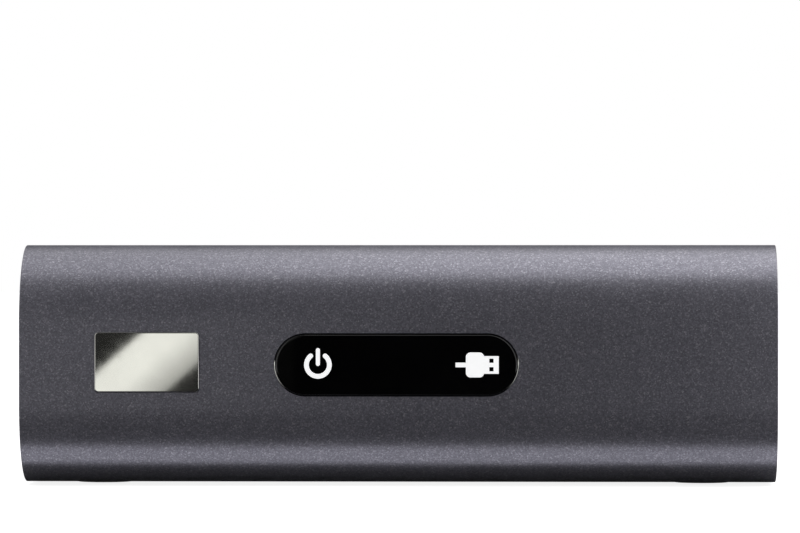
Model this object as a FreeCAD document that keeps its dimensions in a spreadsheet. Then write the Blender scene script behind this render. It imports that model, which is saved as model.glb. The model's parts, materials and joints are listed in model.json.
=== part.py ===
import FreeCAD, Part
import math
import os
import re

import Sketcher

# Compact media player with a slide-out tray for a 2.5 inch hard drive.
#
# Millimetres. +X is the viewer's right, +Y runs from the front to the rear and +Z is up. The origin
# lies under the middle of the case, on the surface that its rubber feet stand on.
#
# The case is one metal sleeve with a round-nosed front, closed by a plastic cap at each end and by a
# rear panel. A sheet chassis inside it carries the main board, and above that the cage in which the
# drive tray runs out through the right-hand cap. Sizes are in the sheet below; a place is written as
# a text in the sheet's words, and every feature is bound to it.

SIZES = {
    # Case
    "width": 125, "depth": 100, "height": 40, "foot_gap": 0.5, "wall": 1.8,
    "nose_radius": 12.8, "end_rounding": 0.2,
    # End caps and rear panel
    "cap_inset": 0.6, "cap_thickness": 2.5, "skin_gap": 0.1, "panel_thickness": 1.8,
    "vent_width": 1.4, "vent_length": 9, "cap_vent_pitch": 4.5, "cap_vent_count": 9,
    "panel_vent_pitch": 5, "panel_vent_count": 21, "upper_vent_z": 25, "lower_vent_z": 7,
    "base_vent_length": 26, "base_vent_span": 42, "base_vent_count": 11,
    # Feet and screws
    "foot_x": 50.5, "foot_y": 25.5, "foot_radius": 4.8, "foot_thickness": 1.1,
    "foot_recess": 0.6, "foot_recess_gap": 0.2, "foot_bevel": 0.3,
    "screw_radius": 0.95, "screw_gap": 0.05, "pan_radius": 1.7, "pan_height": 0.8,
    "pan_length": 2.4, "sunk_radius": 1.9, "sunk_depth": 0.95, "sunk_length": 4.2,
    "cap_screw_y": 27, "cap_screw_z": 15, "drive_screw_radius": 1.5, "drive_head_radius": 2.6,
    "drive_head_depth": 1.1, "drive_screw_length": 4,
    # Window, its two symbols and the badge plate
    "window_width": 40.4, "window_height": 10.2, "window_gap": 0.1, "window_proud": 0.2,
    "window_rounding": 0.2, "flange_margin": 1.5, "flange_thickness": 1,
    "icon_x": 13.1, "icon_depth": 0.4, "ring_radius": 2.28, "ring_stroke": 0.78,
    "ring_opening": 78, "bar_width": 0.68, "bar_top": 2.76, "bar_bottom": 0.18,
    "plug_length": 7.1, "plug_height": 4.1, "plug_grip_length": 3, "plug_lead_length": 1.7,
    "plug_lead_width": 0.76, "plug_shell_height": 2.9, "plug_hole": 0.7, "plug_hole_z": 0.7,
    "badge_x": 41.35, "badge_rise": 0.4, "badge_width": 17.3, "badge_height": 9.9,
    "badge_corner": 0.6, "badge_thickness": 0.6, "badge_recess": 0.4, "badge_gap": 0.05,
    # Light box and front board
    "light_box_width": 38, "light_box_height": 12.5, "light_box_depth": 3.2,
    "light_cell_width": 8.6, "light_cell_height": 6.4, "front_board_thickness": 1.2,
    "front_screw_x": 6.6, "front_screw_z": 15.4, "front_tab_width": 4, "spacer_radius": 1.6,
    "led_width": 3.2, "led_height": 1.6, "led_depth": 0.9, "receiver_width": 5,
    "receiver_height": 5.6, "receiver_depth": 1.3, "receiver_dome": 2, "receiver_reach": 2.5,
    "ribbon_width": 8, "ribbon_thickness": 0.2, "ribbon_bend": 1.6, "ribbon_socket_width": 9.4,
    "ribbon_socket_depth": 2, "ribbon_socket_height": 2.4, "ribbon_socket_rise": 1.4,
    # Chassis
    "sheet_metal": 1, "chassis_front": -36.3, "chassis_rear": 46.6, "lip_width": 5,
    "lip_front": -35, "lip_rear": 31, "standoff": 3, "standoff_radius": 2.6, "panel_tab_width": 5,
    "panel_tab_top": 16, "panel_screw_z": 12.5, "panel_tab_right": 28, "panel_tab_left": -14,
    "front_tab_top": 20.2,
    # Main board and what is on it
    "board_side": 57, "board_front": -35.1, "board_rear": 46.4, "board_thickness": 1.6,
    "chip_x": 8, "chip_y": 1, "chip_side": 27, "chip_height": 1.9, "pad_side": 25,
    "pad_thickness": 0.6, "sink_side": 31, "sink_base": 2, "sink_height": 8.6, "fin_thickness": 1,
    "fin_gap": 2, "fin_count": 11, "memory_x": -19, "memory_y": 1, "memory_column_pitch": 12.6,
    "memory_row_pitch": 13.5, "memory_width": 9, "memory_length": 12, "memory_height": 1.1,
    "can_radius": 3.15, "can_height": 7.2, "can_x": 40, "can_y": 8, "can_pitch": 8, "can_count": 3,
    "coil_side": 6.6, "coil_height": 3.4, "coil_x": 34, "coil_y": -24, "coil_pitch": 9.6,
    "coil_count": 3,
    # Rear sockets
    "socket_rear": 49.2, "jack_x": 51, "jack_width": 9, "jack_height": 11, "jack_depth": 12.2,
    "jack_snout_radius": 3.8, "jack_bore_radius": 3, "jack_bore_depth": 9, "jack_pin_radius": 1,
    "jack_pin_length": 8.2, "optical_x": 36, "optical_width": 9.7, "optical_height": 10,
    "optical_depth": 13.5, "optical_hollow": 8, "optical_hollow_depth": 9.4, "optical_sill": 1,
    "flap_side": 7.6, "flap_thickness": 0.6, "flap_axis_drop": 0.7, "flap_inset": 0.9,
    "flap_reach": 7, "flap_pin_radius": 0.4, "flap_pin_gap": 0.05, "flap_pin_end": 4.6,
    "video_x": 17, "video_width": 15, "video_height": 5.6, "video_depth": 12, "shell_wall": 0.5,
    "video_tongue_width": 11, "video_tongue_height": 1.1, "video_tongue_length": 9,
    "data_x": -4, "data_width": 13.1, "data_height": 5.7, "data_depth": 14, "data_wall": 0.4,
    "data_tongue_width": 11.1, "data_tongue_height": 1.8, "data_tongue_length": 9,
    "data_tongue_drop": 0.7, "av_x": -36.6, "av_pitch": 13, "av_wall": 1.2,
    "av_block_height": 13.3, "av_block_depth": 13, "av_axis_height": 6.5, "av_well_radius": 5.5,
    "av_well_depth": 8.6, "av_shell_radius": 4.15, "av_shell_wall": 0.5, "av_insert_gap": 0.05,
    "av_bore_radius": 1.6, "av_bore_depth": 8, "av_insert_short": 0.4, "cut_out_gap": 0.2,
    # Left side: data socket and reset button
    "side_socket_y": -16, "side_socket_out": 61.4, "reset_y": 20, "reset_z": 11.4,
    "reset_radius": 1.2, "reset_gap": 0.2, "reset_out": 61.1, "reset_collar_radius": 2,
    "reset_collar_out": 58.1, "reset_collar_in": 57.2, "reset_tip_radius": 0.8, "reset_tip": 54.6,
    "reset_switch_out": 55.9, "reset_switch_depth": 5, "reset_switch_width": 6,
    "reset_switch_height": 6.4, "reset_bore_depth": 2.4, "reset_bore_gap": 0.15,
    # Dock for the drive
    "dock_board_out": 53.1, "dock_board_in": 51.5, "dock_board_half": 25.5, "dock_board_low": 22.6,
    "dock_board_high": 35.4, "dock_tab_width": 6, "dock_tab_top": 33, "dock_screw_z": 29,
    "dock_socket_half": 17.8, "dock_socket_low": 25.4, "dock_socket_high": 29.4,
    "dock_socket_end": -38.6, "dock_slot_depth": 5.4, "dock_slot_height": 2, "blade_height": 1.2,
    "blade_length": 4.6, "power_blade_y": -5.6, "power_blade_width": 20.6, "data_blade_y": 11.6,
    "data_blade_width": 10.4, "slot_gap": 0.4, "dock_cable_y": 6, "dock_cable_width": 12,
    "dock_cable_x": -54.2, "cable_thickness": 0.2, "cable_socket_width": 14, "cable_socket_depth": 2,
    "cable_socket_height": 2.6, "cable_top": 24.2,
    # Drive cage and guide rails, measured out from the drive's middle line
    "drive_y": 2, "cage_bottom": 21.4, "cage_sheet": 0.8, "cage_left": -58, "cage_wall_left": -50,
    "cage_right": 57.6, "cage_wall_top": 36.6, "cage_half": 40.5, "cage_screw_x": 55.8,
    "cage_screw_y": 26, "rail_in": 36.9, "rail_bottom": 25.3, "rail_top": 29.2, "groove_in": 38.7,
    "groove_bottom": 26.15, "groove_top": 28.35, "stop_x": 52.3, "stop_thickness": 1,
    "stop_in": 37.1, "stop_top": 25.2, "cage_window_x": 20, "cage_window_length": 30,
    "cage_window_half": 24,
    # Tray
    "tray_bottom": 23.5, "tray_floor": 1.2, "tray_left": -43, "tray_wall_in": 35.2,
    "tray_wall_out": 36.4, "tray_wall_top": 31, "tray_arm_left": -56, "runner_out": 38.45,
    "runner_bottom": 26.4, "runner_top": 28.1, "runner_right": 57, "lug_length": 3,
    "lug_out": 39.4, "lug_top": 25.1, "tray_window_x": 15.6, "tray_window_length": 26,
    "tray_window_half": 20,
    # Bezel, handle and lock
    "bezel_back": 57.9, "bezel_half": 40, "bezel_bottom": 22.6, "bezel_top": 36.8,
    "bezel_corner": 1, "bezel_gap": 0.25, "recess_floor": 59.2, "recess_left": -27.5,
    "recess_right": 36.2, "recess_bottom": 25.2, "recess_top": 34.6, "handle_back": 59.4,
    "handle_face": 61.8, "handle_end": -23, "handle_gap": 0.2, "handle_pin_y": 34.6,
    "handle_pin_radius": 0.6, "handle_pin_gap": 0.04, "handle_pin_seat_gap": 0.02,
    "handle_pin_bottom": 23.2, "handle_pin_top": 36.2, "handle_barrel": 1.2, "handle_relief": 0.8,
    "handle_relief_length": 6, "handle_rounding": 1.2,
    "lock_channel_left": -36.3, "lock_channel_right": -29, "lock_z": 29.3, "lock_channel_back": 59.3,
    "lock_shoulder": 60.7, "lock_channel_half": 2.8, "lock_slot_half": 1.8, "lock_gap": 0.2,
    "lock_length": 4.1, "lock_right": -29.5, "lock_bolt_half": 0.8, "lock_bolt_end": -37.8,
    "lock_keep_depth": 2.2,
    # 2.5 inch drive
    "drive_left": -42.8, "drive_length": 100.2, "drive_width": 69.85, "drive_height": 9.5,
    "drive_rail": 7.6, "drive_circuit_thickness": 1.2, "drive_cover_thickness": 1.1,
    "drive_cover_inset": 1.6, "drive_corner": 2, "drive_hole_near": 14, "drive_hole_far": 90.6,
    "drive_hole_half": 30.86, "drive_notch_depth": 5.2, "drive_notch_height": 5.6,
    "drive_plug_back": 0.6,
}

# Places that many sub-parts share, as texts in the sheet's words.
SIDE = "(width / 2)"
FRONT = "(-depth / 2)"
REAR = "(depth / 2)"
MIDDLE = "((height + foot_gap) / 2)"
INNER_FRONT = "(wall - depth / 2)"
INNER_FLOOR = "(foot_gap + wall)"
INNER_TOP = "(height - wall)"
INNER_NOSE = "(nose_radius - wall)"
CAP_OUT = "(width / 2 - cap_inset)"
CAP_IN = "(width / 2 - cap_inset - cap_thickness)"
PANEL_OUT = "(depth / 2 - cap_inset)"
PANEL_IN = "(depth / 2 - cap_inset - panel_thickness)"
CHASSIS_TOP = "(foot_gap + wall + sheet_metal)"
BOARD_BOTTOM = "(foot_gap + wall + sheet_metal + standoff)"
BOARD_TOP = "(foot_gap + wall + sheet_metal + standoff + board_thickness)"
LIGHT_BOX_FRONT = "(wall - depth / 2 + flange_thickness)"
LIGHT_BOX_BACK = "(wall - depth / 2 + flange_thickness + light_box_depth)"
FRONT_BOARD_BACK = "(wall - depth / 2 + flange_thickness + light_box_depth + front_board_thickness)"
CAGE_TOP = "(cage_bottom + cage_sheet)"
TRAY_TOP = "(tray_bottom + tray_floor)"
DRIVE_TOP = "(tray_bottom + tray_floor + drive_height)"
AV_AXIS_Z = f"({BOARD_TOP} + av_axis_height)"
HANDLE_PIN_X = "((handle_back + handle_face) / 2)"
FLAP_AXIS_Y = "(socket_rear - flap_inset)"
FLAP_AXIS_Z = f"({BOARD_TOP} + optical_sill + optical_hollow - flap_axis_drop)"

LEFT_AND_RIGHT = (-1, 1)
FRONT_AND_REAR = (-1, 1)
WORD = re.compile(r"[a-z_]+")
AXES = {"x": 0, "y": 1, "z": 2}
TURN_TO = {
    "x": FreeCAD.Rotation(FreeCAD.Vector(0, 1, 0), 90),
    "y": FreeCAD.Rotation(FreeCAD.Vector(1, 0, 0), -90),
    "z": FreeCAD.Rotation(),
}

doc = FreeCAD.newDocument("media_player")
sheet = doc.addObject("Spreadsheet::Sheet", "Sizes")
nodes = []


# ---- Helpers: the sheet, primitives, booleans and sketches ----

def fill_sheet():
    for row, (alias, size) in enumerate(SIZES.items(), start=1):
        sheet.set(f"A{row}", alias)
        sheet.set(f"B{row}", str(size))
        sheet.setAlias(f"B{row}", alias)
    doc.recompute()


def bound(text):
    """The text as an expression that reads the sheet."""
    return WORD.sub(lambda word: f"Sizes.{word.group()}" if word.group() in SIZES else word.group(),
                    str(text))


def value(text):
    return float(sheet.evalExpression(bound(text)))


def place(solid, axis, corner):
    """Turns the solid's own Z to the axis and binds its base point."""
    solid.Placement = FreeCAD.Placement(FreeCAD.Vector(), TURN_TO[axis])
    for name, text in zip("xyz", corner):
        solid.setExpression(f"Placement.Base.{name}", bound(text))
    return solid


def box(name, x, y, z):
    """A block between a low and a high text on each axis."""
    solid = doc.addObject("Part::Box", name)
    for size, (low, high) in zip(("Length", "Width", "Height"), (x, y, z)):
        solid.setExpression(size, bound(f"({high}) - ({low})"))
    return place(solid, "z", (x[0], y[0], z[0]))


def base_point(axis, low, across):
    point = list(across)
    point.insert(AXES[axis], low)
    return point


def rod(name, axis, radius, span, across):
    """A round bar along an axis; across holds its other two coordinates in x, y, z order."""
    solid = doc.addObject("Part::Cylinder", name)
    solid.setExpression("Radius", bound(radius))
    solid.setExpression("Height", bound(f"({span[1]}) - ({span[0]})"))
    return place(solid, axis, base_point(axis, span[0], across))


def taper(name, axis, radii, span, across):
    """A cone frustum along an axis, with its radius at the low and at the high end."""
    solid = doc.addObject("Part::Cone", name)
    solid.setExpression("Radius1", bound(radii[0]))
    solid.setExpression("Radius2", bound(radii[1]))
    solid.setExpression("Height", bound(f"({span[1]}) - ({span[0]})"))
    return place(solid, axis, base_point(axis, span[0], across))


def join(name, parts):
    """One solid where the parts touch, and a group of solids where they don't."""
    if len(parts) == 1:
        return parts[0]
    fused = doc.addObject("Part::MultiFuse", name)
    fused.Shapes = parts
    fused.Refine = True
    return fused


def cut(name, base, tools):
    result = doc.addObject("Part::Cut", name)
    result.Base = base
    result.Tool = join(name + "_tools", tools)
    result.Refine = True
    return result


def node(label, solid):
    """Names a finished sub-part; the label is its file's name."""
    solid.Label = label
    nodes.append(solid)
    return solid


def new_body(name):
    return doc.addObject("PartDesign::Body", name)


def sketch_on(body, plane, offset):
    """A sketch on one of the body's own planes, moved along that plane's normal."""
    sketch = body.newObject("Sketcher::SketchObject", body.Name + "_sketch")
    origin_plane = next(f for f in body.Origin.OriginFeatures if f.Role == plane + "_Plane")
    sketch.AttachmentSupport = [(origin_plane, "")]
    sketch.MapMode = "FlatFace"
    sketch.setExpression("AttachmentOffset.Base.z", bound(offset))
    return sketch


def fix(sketch, kind, geometry, point, text):
    """Binds one coordinate of a point, from the sketch's origin."""
    index = sketch.addConstraint(Sketcher.Constraint(kind, -1, 1, geometry, point, value(text)))
    sketch.setExpression(f"Constraints[{index}]", bound(text))


def fix_radius(sketch, arc, text):
    index = sketch.addConstraint(Sketcher.Constraint("Radius", arc, value(text)))
    sketch.setExpression(f"Constraints[{index}]", bound(text))


def outline(sketch, corners):
    """A closed outline of level and upright lines; a corner is (x, y) or (x, y, radius)."""
    count = len(corners)
    points = [FreeCAD.Vector(value(corner[0]), value(corner[1]), 0) for corner in corners]
    radii = [value(corner[2]) if len(corner) > 2 else 0 for corner in corners]
    ways = [(points[(i + 1) % count] - points[i]).normalize() for i in range(count)]
    lines = []
    for i in range(count):
        start = points[i] + ways[i] * radii[i]
        end = points[(i + 1) % count] - ways[i] * radii[(i + 1) % count]
        line = sketch.addGeometry(Part.LineSegment(start, end), False)
        level = abs(ways[i].x) > abs(ways[i].y)
        sketch.addConstraint(Sketcher.Constraint("Horizontal" if level else "Vertical", line))
        fix(sketch, "DistanceY" if level else "DistanceX", line, 1, corners[i][1 if level else 0])
        lines.append(line)
    for i in range(count):
        before = lines[i - 1]
        if not radii[i]:
            sketch.addConstraint(Sketcher.Constraint("Coincident", before, 2, lines[i], 1))
            continue
        way_in, way_out = ways[i - 1], ways[i]
        centre = points[i] + (way_out - way_in) * radii[i]
        leftward = way_in.x * way_out.y - way_in.y * way_out.x > 0
        first = -way_out if leftward else way_in
        angle = math.atan2(first.y, first.x)
        ring = Part.Circle(centre, FreeCAD.Vector(0, 0, 1), radii[i])
        arc = sketch.addGeometry(Part.ArcOfCircle(ring, angle, angle + math.pi / 2), False)
        start, end = (1, 2) if leftward else (2, 1)
        sketch.addConstraint(Sketcher.Constraint("Tangent", before, 2, arc, start))
        sketch.addConstraint(Sketcher.Constraint("Tangent", lines[i], 1, arc, end))
        fix_radius(sketch, arc, corners[i][2])


def rectangle(sketch, x, y, radius=None):
    corners = [(x[0], y[0]), (x[1], y[0]), (x[1], y[1]), (x[0], y[1])]
    outline(sketch, [corner + (radius,) if radius else corner for corner in corners])


def stadium(sketch, width, height, centre_y):
    """A slot with round ends, level, in the middle of the sketch's first axis."""
    reach_text = f"(({width}) - ({height})) / 2"
    radius_text = f"({height}) / 2"
    middle_x, radius, level = value(reach_text), value(radius_text), value(centre_y)
    up = FreeCAD.Vector(0, 0, 1)
    arcs, lines = [], []
    for way in (1, -1):
        centre = FreeCAD.Vector(way * middle_x, level, 0)
        start = -way * math.pi / 2
        ring = Part.ArcOfCircle(Part.Circle(centre, up, radius), start, start + math.pi)
        arcs.append(sketch.addGeometry(ring, False))
        edge = FreeCAD.Vector(way * middle_x, level + way * radius, 0)
        line = Part.LineSegment(edge, edge - FreeCAD.Vector(2 * way * middle_x, 0, 0))
        lines.append(sketch.addGeometry(line, False))
    for i in range(2):
        sketch.addConstraint(Sketcher.Constraint("Tangent", arcs[i], 2, lines[i], 1))
        sketch.addConstraint(Sketcher.Constraint("Tangent", lines[i], 2, arcs[1 - i], 1))
    sketch.addConstraint(Sketcher.Constraint("Horizontal", lines[0]))
    sketch.addConstraint(Sketcher.Constraint("Equal", arcs[0], arcs[1]))
    fix_radius(sketch, arcs[0], radius_text)
    fix(sketch, "DistanceX", arcs[0], 3, reach_text)
    fix(sketch, "DistanceX", arcs[1], 3, "-" + reach_text)
    fix(sketch, "DistanceY", arcs[0], 3, centre_y)


def circle(sketch, x, y, radius):
    centre = FreeCAD.Vector(value(x), value(y), 0)
    ring = sketch.addGeometry(Part.Circle(centre, FreeCAD.Vector(0, 0, 1), value(radius)), False)
    fix(sketch, "DistanceX", ring, 3, x)
    fix(sketch, "DistanceY", ring, 3, y)
    fix_radius(sketch, ring, radius)


def pad(body, sketch, length):
    """Adds the sketch's area along its plane's normal."""
    feature = body.newObject("PartDesign::Pad", sketch.Name + "_pad")
    feature.Profile = sketch
    feature.setExpression("Length", bound(length))
    doc.recompute()
    return feature


def pocket(body, sketch, length, along_normal=False):
    """Takes the sketch's area away, against its plane's normal unless told otherwise."""
    before = body.Shape.Volume
    feature = body.newObject("PartDesign::Pocket", sketch.Name + "_pocket")
    feature.Profile = sketch
    feature.Reversed = along_normal
    feature.setExpression("Length", bound(length))
    doc.recompute()
    if feature.Shape.Volume >= before:
        raise RuntimeError(f"{feature.Name} takes nothing away")
    return feature


def round_edges(body, base, chosen, radius):
    """Rounds the base feature's edges that the test picks out."""
    fillet = body.newObject("PartDesign::Fillet", base.Name + "_rounding")
    names = [f"Edge{i}" for i, edge in enumerate(base.Shape.Edges, start=1) if chosen(edge)]
    fillet.Base = (base, names)
    fillet.setExpression("Radius", bound(radius))
    doc.recompute()
    return fillet


def reach(face, way, length):
    """Low and high texts of a stretch that starts at a face and runs along or against its axis."""
    end = f"{face} + ({way}) * ({length})"
    return (face, end) if way > 0 else (end, face)


def beside(side, near, far):
    """Low and high Y texts of a stretch measured out from the drive's middle line."""
    ends = (f"drive_y + ({side}) * ({near})", f"drive_y + ({side}) * ({far})")
    return ends if side > 0 else ends[::-1]


def about(centre, size):
    return (f"{centre} - ({size}) / 2", f"{centre} + ({size}) / 2")


def count_of(alias):
    return int(value(alias))


# ---- Screws ----

def pan_screw(axis, face, way, across):
    """Head on the face, shank along the way it points."""
    head = rod("pan_head", axis, "pan_radius", reach(face, -way, "pan_height"), across)
    shank = rod("pan_shank", axis, "screw_radius", reach(face, way, "pan_length"), across)
    return join("pan_screw", [head, shank])


def screw_hole(axis, span, across):
    return rod("screw_hole", axis, "screw_radius + screw_gap", span, across)


def sunk_shape(axis, face, way, across, gap, length):
    radii = (f"sunk_radius + {gap}", f"screw_radius + {gap}")
    head = taper("sunk_head", axis, radii if way > 0 else radii[::-1],
                 reach(face, way, "sunk_depth"), across)
    shank = rod("sunk_shank", axis, f"screw_radius + {gap}", reach(face, way, length), across)
    return join("sunk_shape", [head, shank])


def sunk_screw(axis, face, way, across):
    return sunk_shape(axis, face, way, across, "0", "sunk_length")


def sunk_hole(axis, face, way, across):
    """Clearance for a countersunk screw, its whole length deep."""
    return sunk_shape(axis, face, way, across, "screw_gap", "sunk_length + screw_gap")


def foot_places():
    return [(f"({side}) * foot_x", f"({end}) * foot_y")
            for side in LEFT_AND_RIGHT for end in FRONT_AND_REAR]


def cap_screw_places():
    return [(f"({end}) * cap_screw_y", "cap_screw_z") for end in FRONT_AND_REAR]


def panel_screw_places():
    return [(x, "panel_screw_z") for x in ("panel_tab_left", "panel_tab_right")]


def cage_screw_places():
    return [(f"({side}) * cage_screw_x", f"({end}) * cage_screw_y")
            for side in LEFT_AND_RIGHT for end in FRONT_AND_REAR]


def dock_screw_places():
    return [(f"drive_y + ({side}) * (dock_board_half - dock_tab_width / 2)", "dock_screw_z")
            for side in FRONT_AND_REAR]


def drive_screw_places():
    return [(f"drive_left + {along}", f"drive_y + ({side}) * drive_hole_half")
            for along in ("drive_hole_near", "drive_hole_far") for side in FRONT_AND_REAR]


def front_screw_places():
    return [(f"({side}) * front_screw_x", "front_screw_z") for side in LEFT_AND_RIGHT]


FOOT_SCREW_FACE = "(foot_gap + foot_recess)"


def make_screws():
    pans = [pan_screw("z", BOARD_TOP, -1, at) for at in foot_places()]
    pans += [pan_screw("z", CAGE_TOP, -1, at) for at in cage_screw_places()]
    pans += [pan_screw("x", "-dock_board_out", 1, at) for at in dock_screw_places()]
    node("pan_screws", join("pan_screws", pans))
    sunk = [sunk_screw("z", FOOT_SCREW_FACE, 1, at) for at in foot_places()]
    sunk += [sunk_screw("x", "-" + CAP_OUT, 1, at) for at in cap_screw_places()]
    sunk += [sunk_screw("x", CAP_OUT, -1, at) for at in cap_screw_places()]
    sunk += [sunk_screw("y", PANEL_OUT, -1, at) for at in panel_screw_places()]
    node("countersunk_screws", join("countersunk_screws", sunk))
    in_drive = [drive_screw(at, "0") for at in drive_screw_places()]
    node("drive_screws", join("drive_screws", in_drive))
    head_face = "(chassis_front + sheet_metal)"
    long_screws = []
    for at in front_screw_places():
        head = rod("long_head", "y", "pan_radius", reach(head_face, 1, "pan_height"), at)
        shank = rod("long_shank", "y", "screw_radius", (f"{LIGHT_BOX_FRONT} + sheet_metal", head_face), at)
        long_screws.append(join("long_screw", [head, shank]))
    node("front_screws", join("front_screws", long_screws))


def drive_screw(across, gap):
    head = taper("drive_head", "z", (f"drive_head_radius + {gap}", f"drive_screw_radius + {gap}"),
                 reach("tray_bottom", 1, "drive_head_depth"), across)
    shank = rod("drive_shank", "z", f"drive_screw_radius + {gap}",
                reach("tray_bottom", 1, f"drive_screw_length + {gap}"), across)
    return join("drive_screw", [head, shank])


# ---- Case ----

def make_sleeve():
    body = new_body("sleeve_shell")
    profile = sketch_on(body, "YZ", "-width / 2")
    outline(profile, [
        (REAR, "foot_gap"), (FRONT, "foot_gap", "nose_radius"), (FRONT, "height", "nose_radius"),
        (REAR, "height"), (REAR, INNER_TOP), (INNER_FRONT, INNER_TOP, INNER_NOSE),
        (INNER_FRONT, INNER_FLOOR, INNER_NOSE), (REAR, INNER_FLOOR)])
    shell = pad(body, profile, "width")

    half, inner_top, inner_floor, inner_front = map(value, (SIDE, INNER_TOP, INNER_FLOOR, INNER_FRONT))

    def outer_end_edge(edge):
        """Lies in an end face and runs round the outside of the profile."""
        extent = edge.BoundBox
        in_end = extent.XLength < 1e-6 and abs(abs(extent.Center.x) - half) < 1e-6
        outside = (extent.ZMax > inner_top + 1e-6 or extent.ZMin < inner_floor - 1e-6
                   or extent.YMin < inner_front - 1e-6)
        return in_end and outside and extent.DiagonalLength > value("2 * wall")

    round_edges(body, shell, outer_end_edge, "end_rounding")
    window = sketch_on(body, "XZ", "depth / 2")
    stadium(window, "window_width", "window_height", MIDDLE)
    pocket(body, window, "wall")
    badge = sketch_on(body, "XZ", "depth / 2")
    rectangle(badge, about("-badge_x", "badge_width"), about(f"{MIDDLE} + badge_rise", "badge_height"),
              "badge_corner")
    pocket(body, badge, "badge_recess")
    seats = sketch_on(body, "XY", "foot_gap")
    for x, y in foot_places():
        circle(seats, x, y, "foot_radius + foot_recess_gap")
    pocket(body, seats, "foot_recess", along_normal=True)
    slot = sketch_on(body, "XY", "foot_gap")
    rectangle(slot, about("-base_vent_span / 2", "vent_width"), about("vent_width", "base_vent_length"))
    first_slot = pocket(body, slot, "wall", along_normal=True)
    row = body.newObject("PartDesign::LinearPattern", "base_vents")
    row.Originals = [first_slot]
    row.Direction = (next(f for f in body.Origin.OriginFeatures if f.Role == "X_Axis"), [""])
    row.setExpression("Length", bound("base_vent_span"))
    row.Occurrences = count_of("base_vent_count")
    body.Tip = row
    doc.recompute()
    holes = [sunk_hole("z", FOOT_SCREW_FACE, 1, at) for at in foot_places()]
    node("sleeve", cut("sleeve", body, holes))


def make_feet():
    pads = []
    for at in foot_places():
        bevel = taper("foot_bevel", "z", ("foot_radius - foot_bevel", "foot_radius"),
                      ("0", "foot_bevel"), at)
        disc = rod("foot_disc", "z", "foot_radius", ("foot_bevel", "foot_thickness"), at)
        pads.append(join("foot", [bevel, disc]))
    node("feet", join("feet", pads))


def cap_blank(name, side):
    """A plate that fills the sleeve's inside at one end."""
    body = new_body(name)
    profile = sketch_on(body, "YZ", CAP_IN if side > 0 else "-" + CAP_OUT)
    top, floor = f"{INNER_TOP} - skin_gap", f"{INNER_FLOOR} + skin_gap"
    front, nose = f"{INNER_FRONT} + skin_gap", f"{INNER_NOSE} - skin_gap"
    outline(profile, [(PANEL_OUT, floor), (front, floor, nose), (front, top, nose), (PANEL_OUT, top)])
    pad(body, profile, "cap_thickness")
    return body


def vent_row(axis_span, low_z, pitch, count, across_y):
    """Upright slots side by side, about the middle, through a plate."""
    slots = []
    for i in range(count_of(count)):
        along = about(f"({i} - ({count} - 1) / 2) * {pitch}", "vent_width")
        high = (low_z, f"{low_z} + vent_length")
        x, y = (axis_span, along) if across_y else (along, axis_span)
        slots.append(box("vent", x, y, high))
    return slots


def make_left_cap():
    through = (f"-{CAP_OUT}", f"-{CAP_IN}")
    port = box("side_port", through, about("side_socket_y", "data_width + 2 * cut_out_gap"),
               about(f"{BOARD_TOP} + data_height / 2", "data_height + 2 * cut_out_gap"))
    pin_hole = rod("pin_hole", "x", "reset_radius + reset_gap", through, ("reset_y", "reset_z"))
    vents = vent_row(through, "upper_vent_z", "cap_vent_pitch", "cap_vent_count", True)
    screws = [sunk_hole("x", "-" + CAP_OUT, 1, at) for at in cap_screw_places()]
    node("end_cap_left", cut("end_cap_left", cap_blank("left_cap_plate", -1),
                             [port, pin_hole] + vents + screws))


def bezel_prism(name, back, face, gap):
    body = new_body(name)
    profile = sketch_on(body, "YZ", back)
    rectangle(profile, (f"drive_y - bezel_half - {gap}", f"drive_y + bezel_half + {gap}"),
              (f"bezel_bottom - {gap}", f"bezel_top + {gap}"), f"bezel_corner + {gap}")
    pad(body, profile, f"{face} - {back}")
    return body


def bolt_way(name, x, y, gap):
    """The stretch that the lock's bolt takes up, with a gap around it."""
    return box(name, x, y, (f"lock_z - lock_bolt_half - {gap}", f"lock_z + lock_bolt_half + {gap}"))


def make_right_cap():
    through = (CAP_IN, CAP_OUT)
    opening = bezel_prism("tray_opening", CAP_IN, CAP_OUT, "bezel_gap")
    edge = "drive_y - bezel_half - bezel_gap"
    keep = bolt_way("bolt_keep", (CAP_IN, "lock_shoulder + lock_gap"),
                    (f"{edge} - lock_keep_depth", edge), "lock_gap")
    vents = vent_row(through, "lower_vent_z", "cap_vent_pitch", "cap_vent_count", True)
    screws = [sunk_hole("x", CAP_OUT, -1, at) for at in cap_screw_places()]
    node("end_cap_right", cut("end_cap_right", cap_blank("right_cap_plate", 1),
                              [opening, keep] + vents + screws))


def make_rear_panel():
    edge = f"{CAP_IN} - skin_gap"
    plate = box("panel_plate", (f"-({edge})", edge), (PANEL_IN, PANEL_OUT),
                (f"{INNER_FLOOR} + skin_gap", f"{INNER_TOP} - skin_gap"))
    through = (PANEL_IN, PANEL_OUT)
    tools = []
    for x, width, height in (("data_x", "data_width", "data_height"),
                             ("video_x", "video_width", "video_height"),
                             ("optical_x", "optical_width", "optical_height")):
        tools.append(box("port", about(x, f"{width} + 2 * cut_out_gap"), through,
                         about(f"{BOARD_TOP} + {height} / 2", f"{height} + 2 * cut_out_gap")))
    for x in av_places():
        tools.append(rod("av_port", "y", "av_well_radius", through, (x, AV_AXIS_Z)))
    tools.append(rod("jack_port", "y", "jack_snout_radius + cut_out_gap", through,
                     ("jack_x", f"{BOARD_TOP} + jack_height / 2")))
    tools += vent_row(through, "upper_vent_z", "panel_vent_pitch", "panel_vent_count", False)
    tools += [sunk_hole("y", PANEL_OUT, -1, at) for at in panel_screw_places()]
    node("rear_panel", cut("rear_panel", plate, tools))


# ---- Window, symbols and badge ----

WINDOW_FACE = "(-depth / 2 - window_proud)"
ICON_BACK = "(-depth / 2 - window_proud + icon_depth)"


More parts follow.
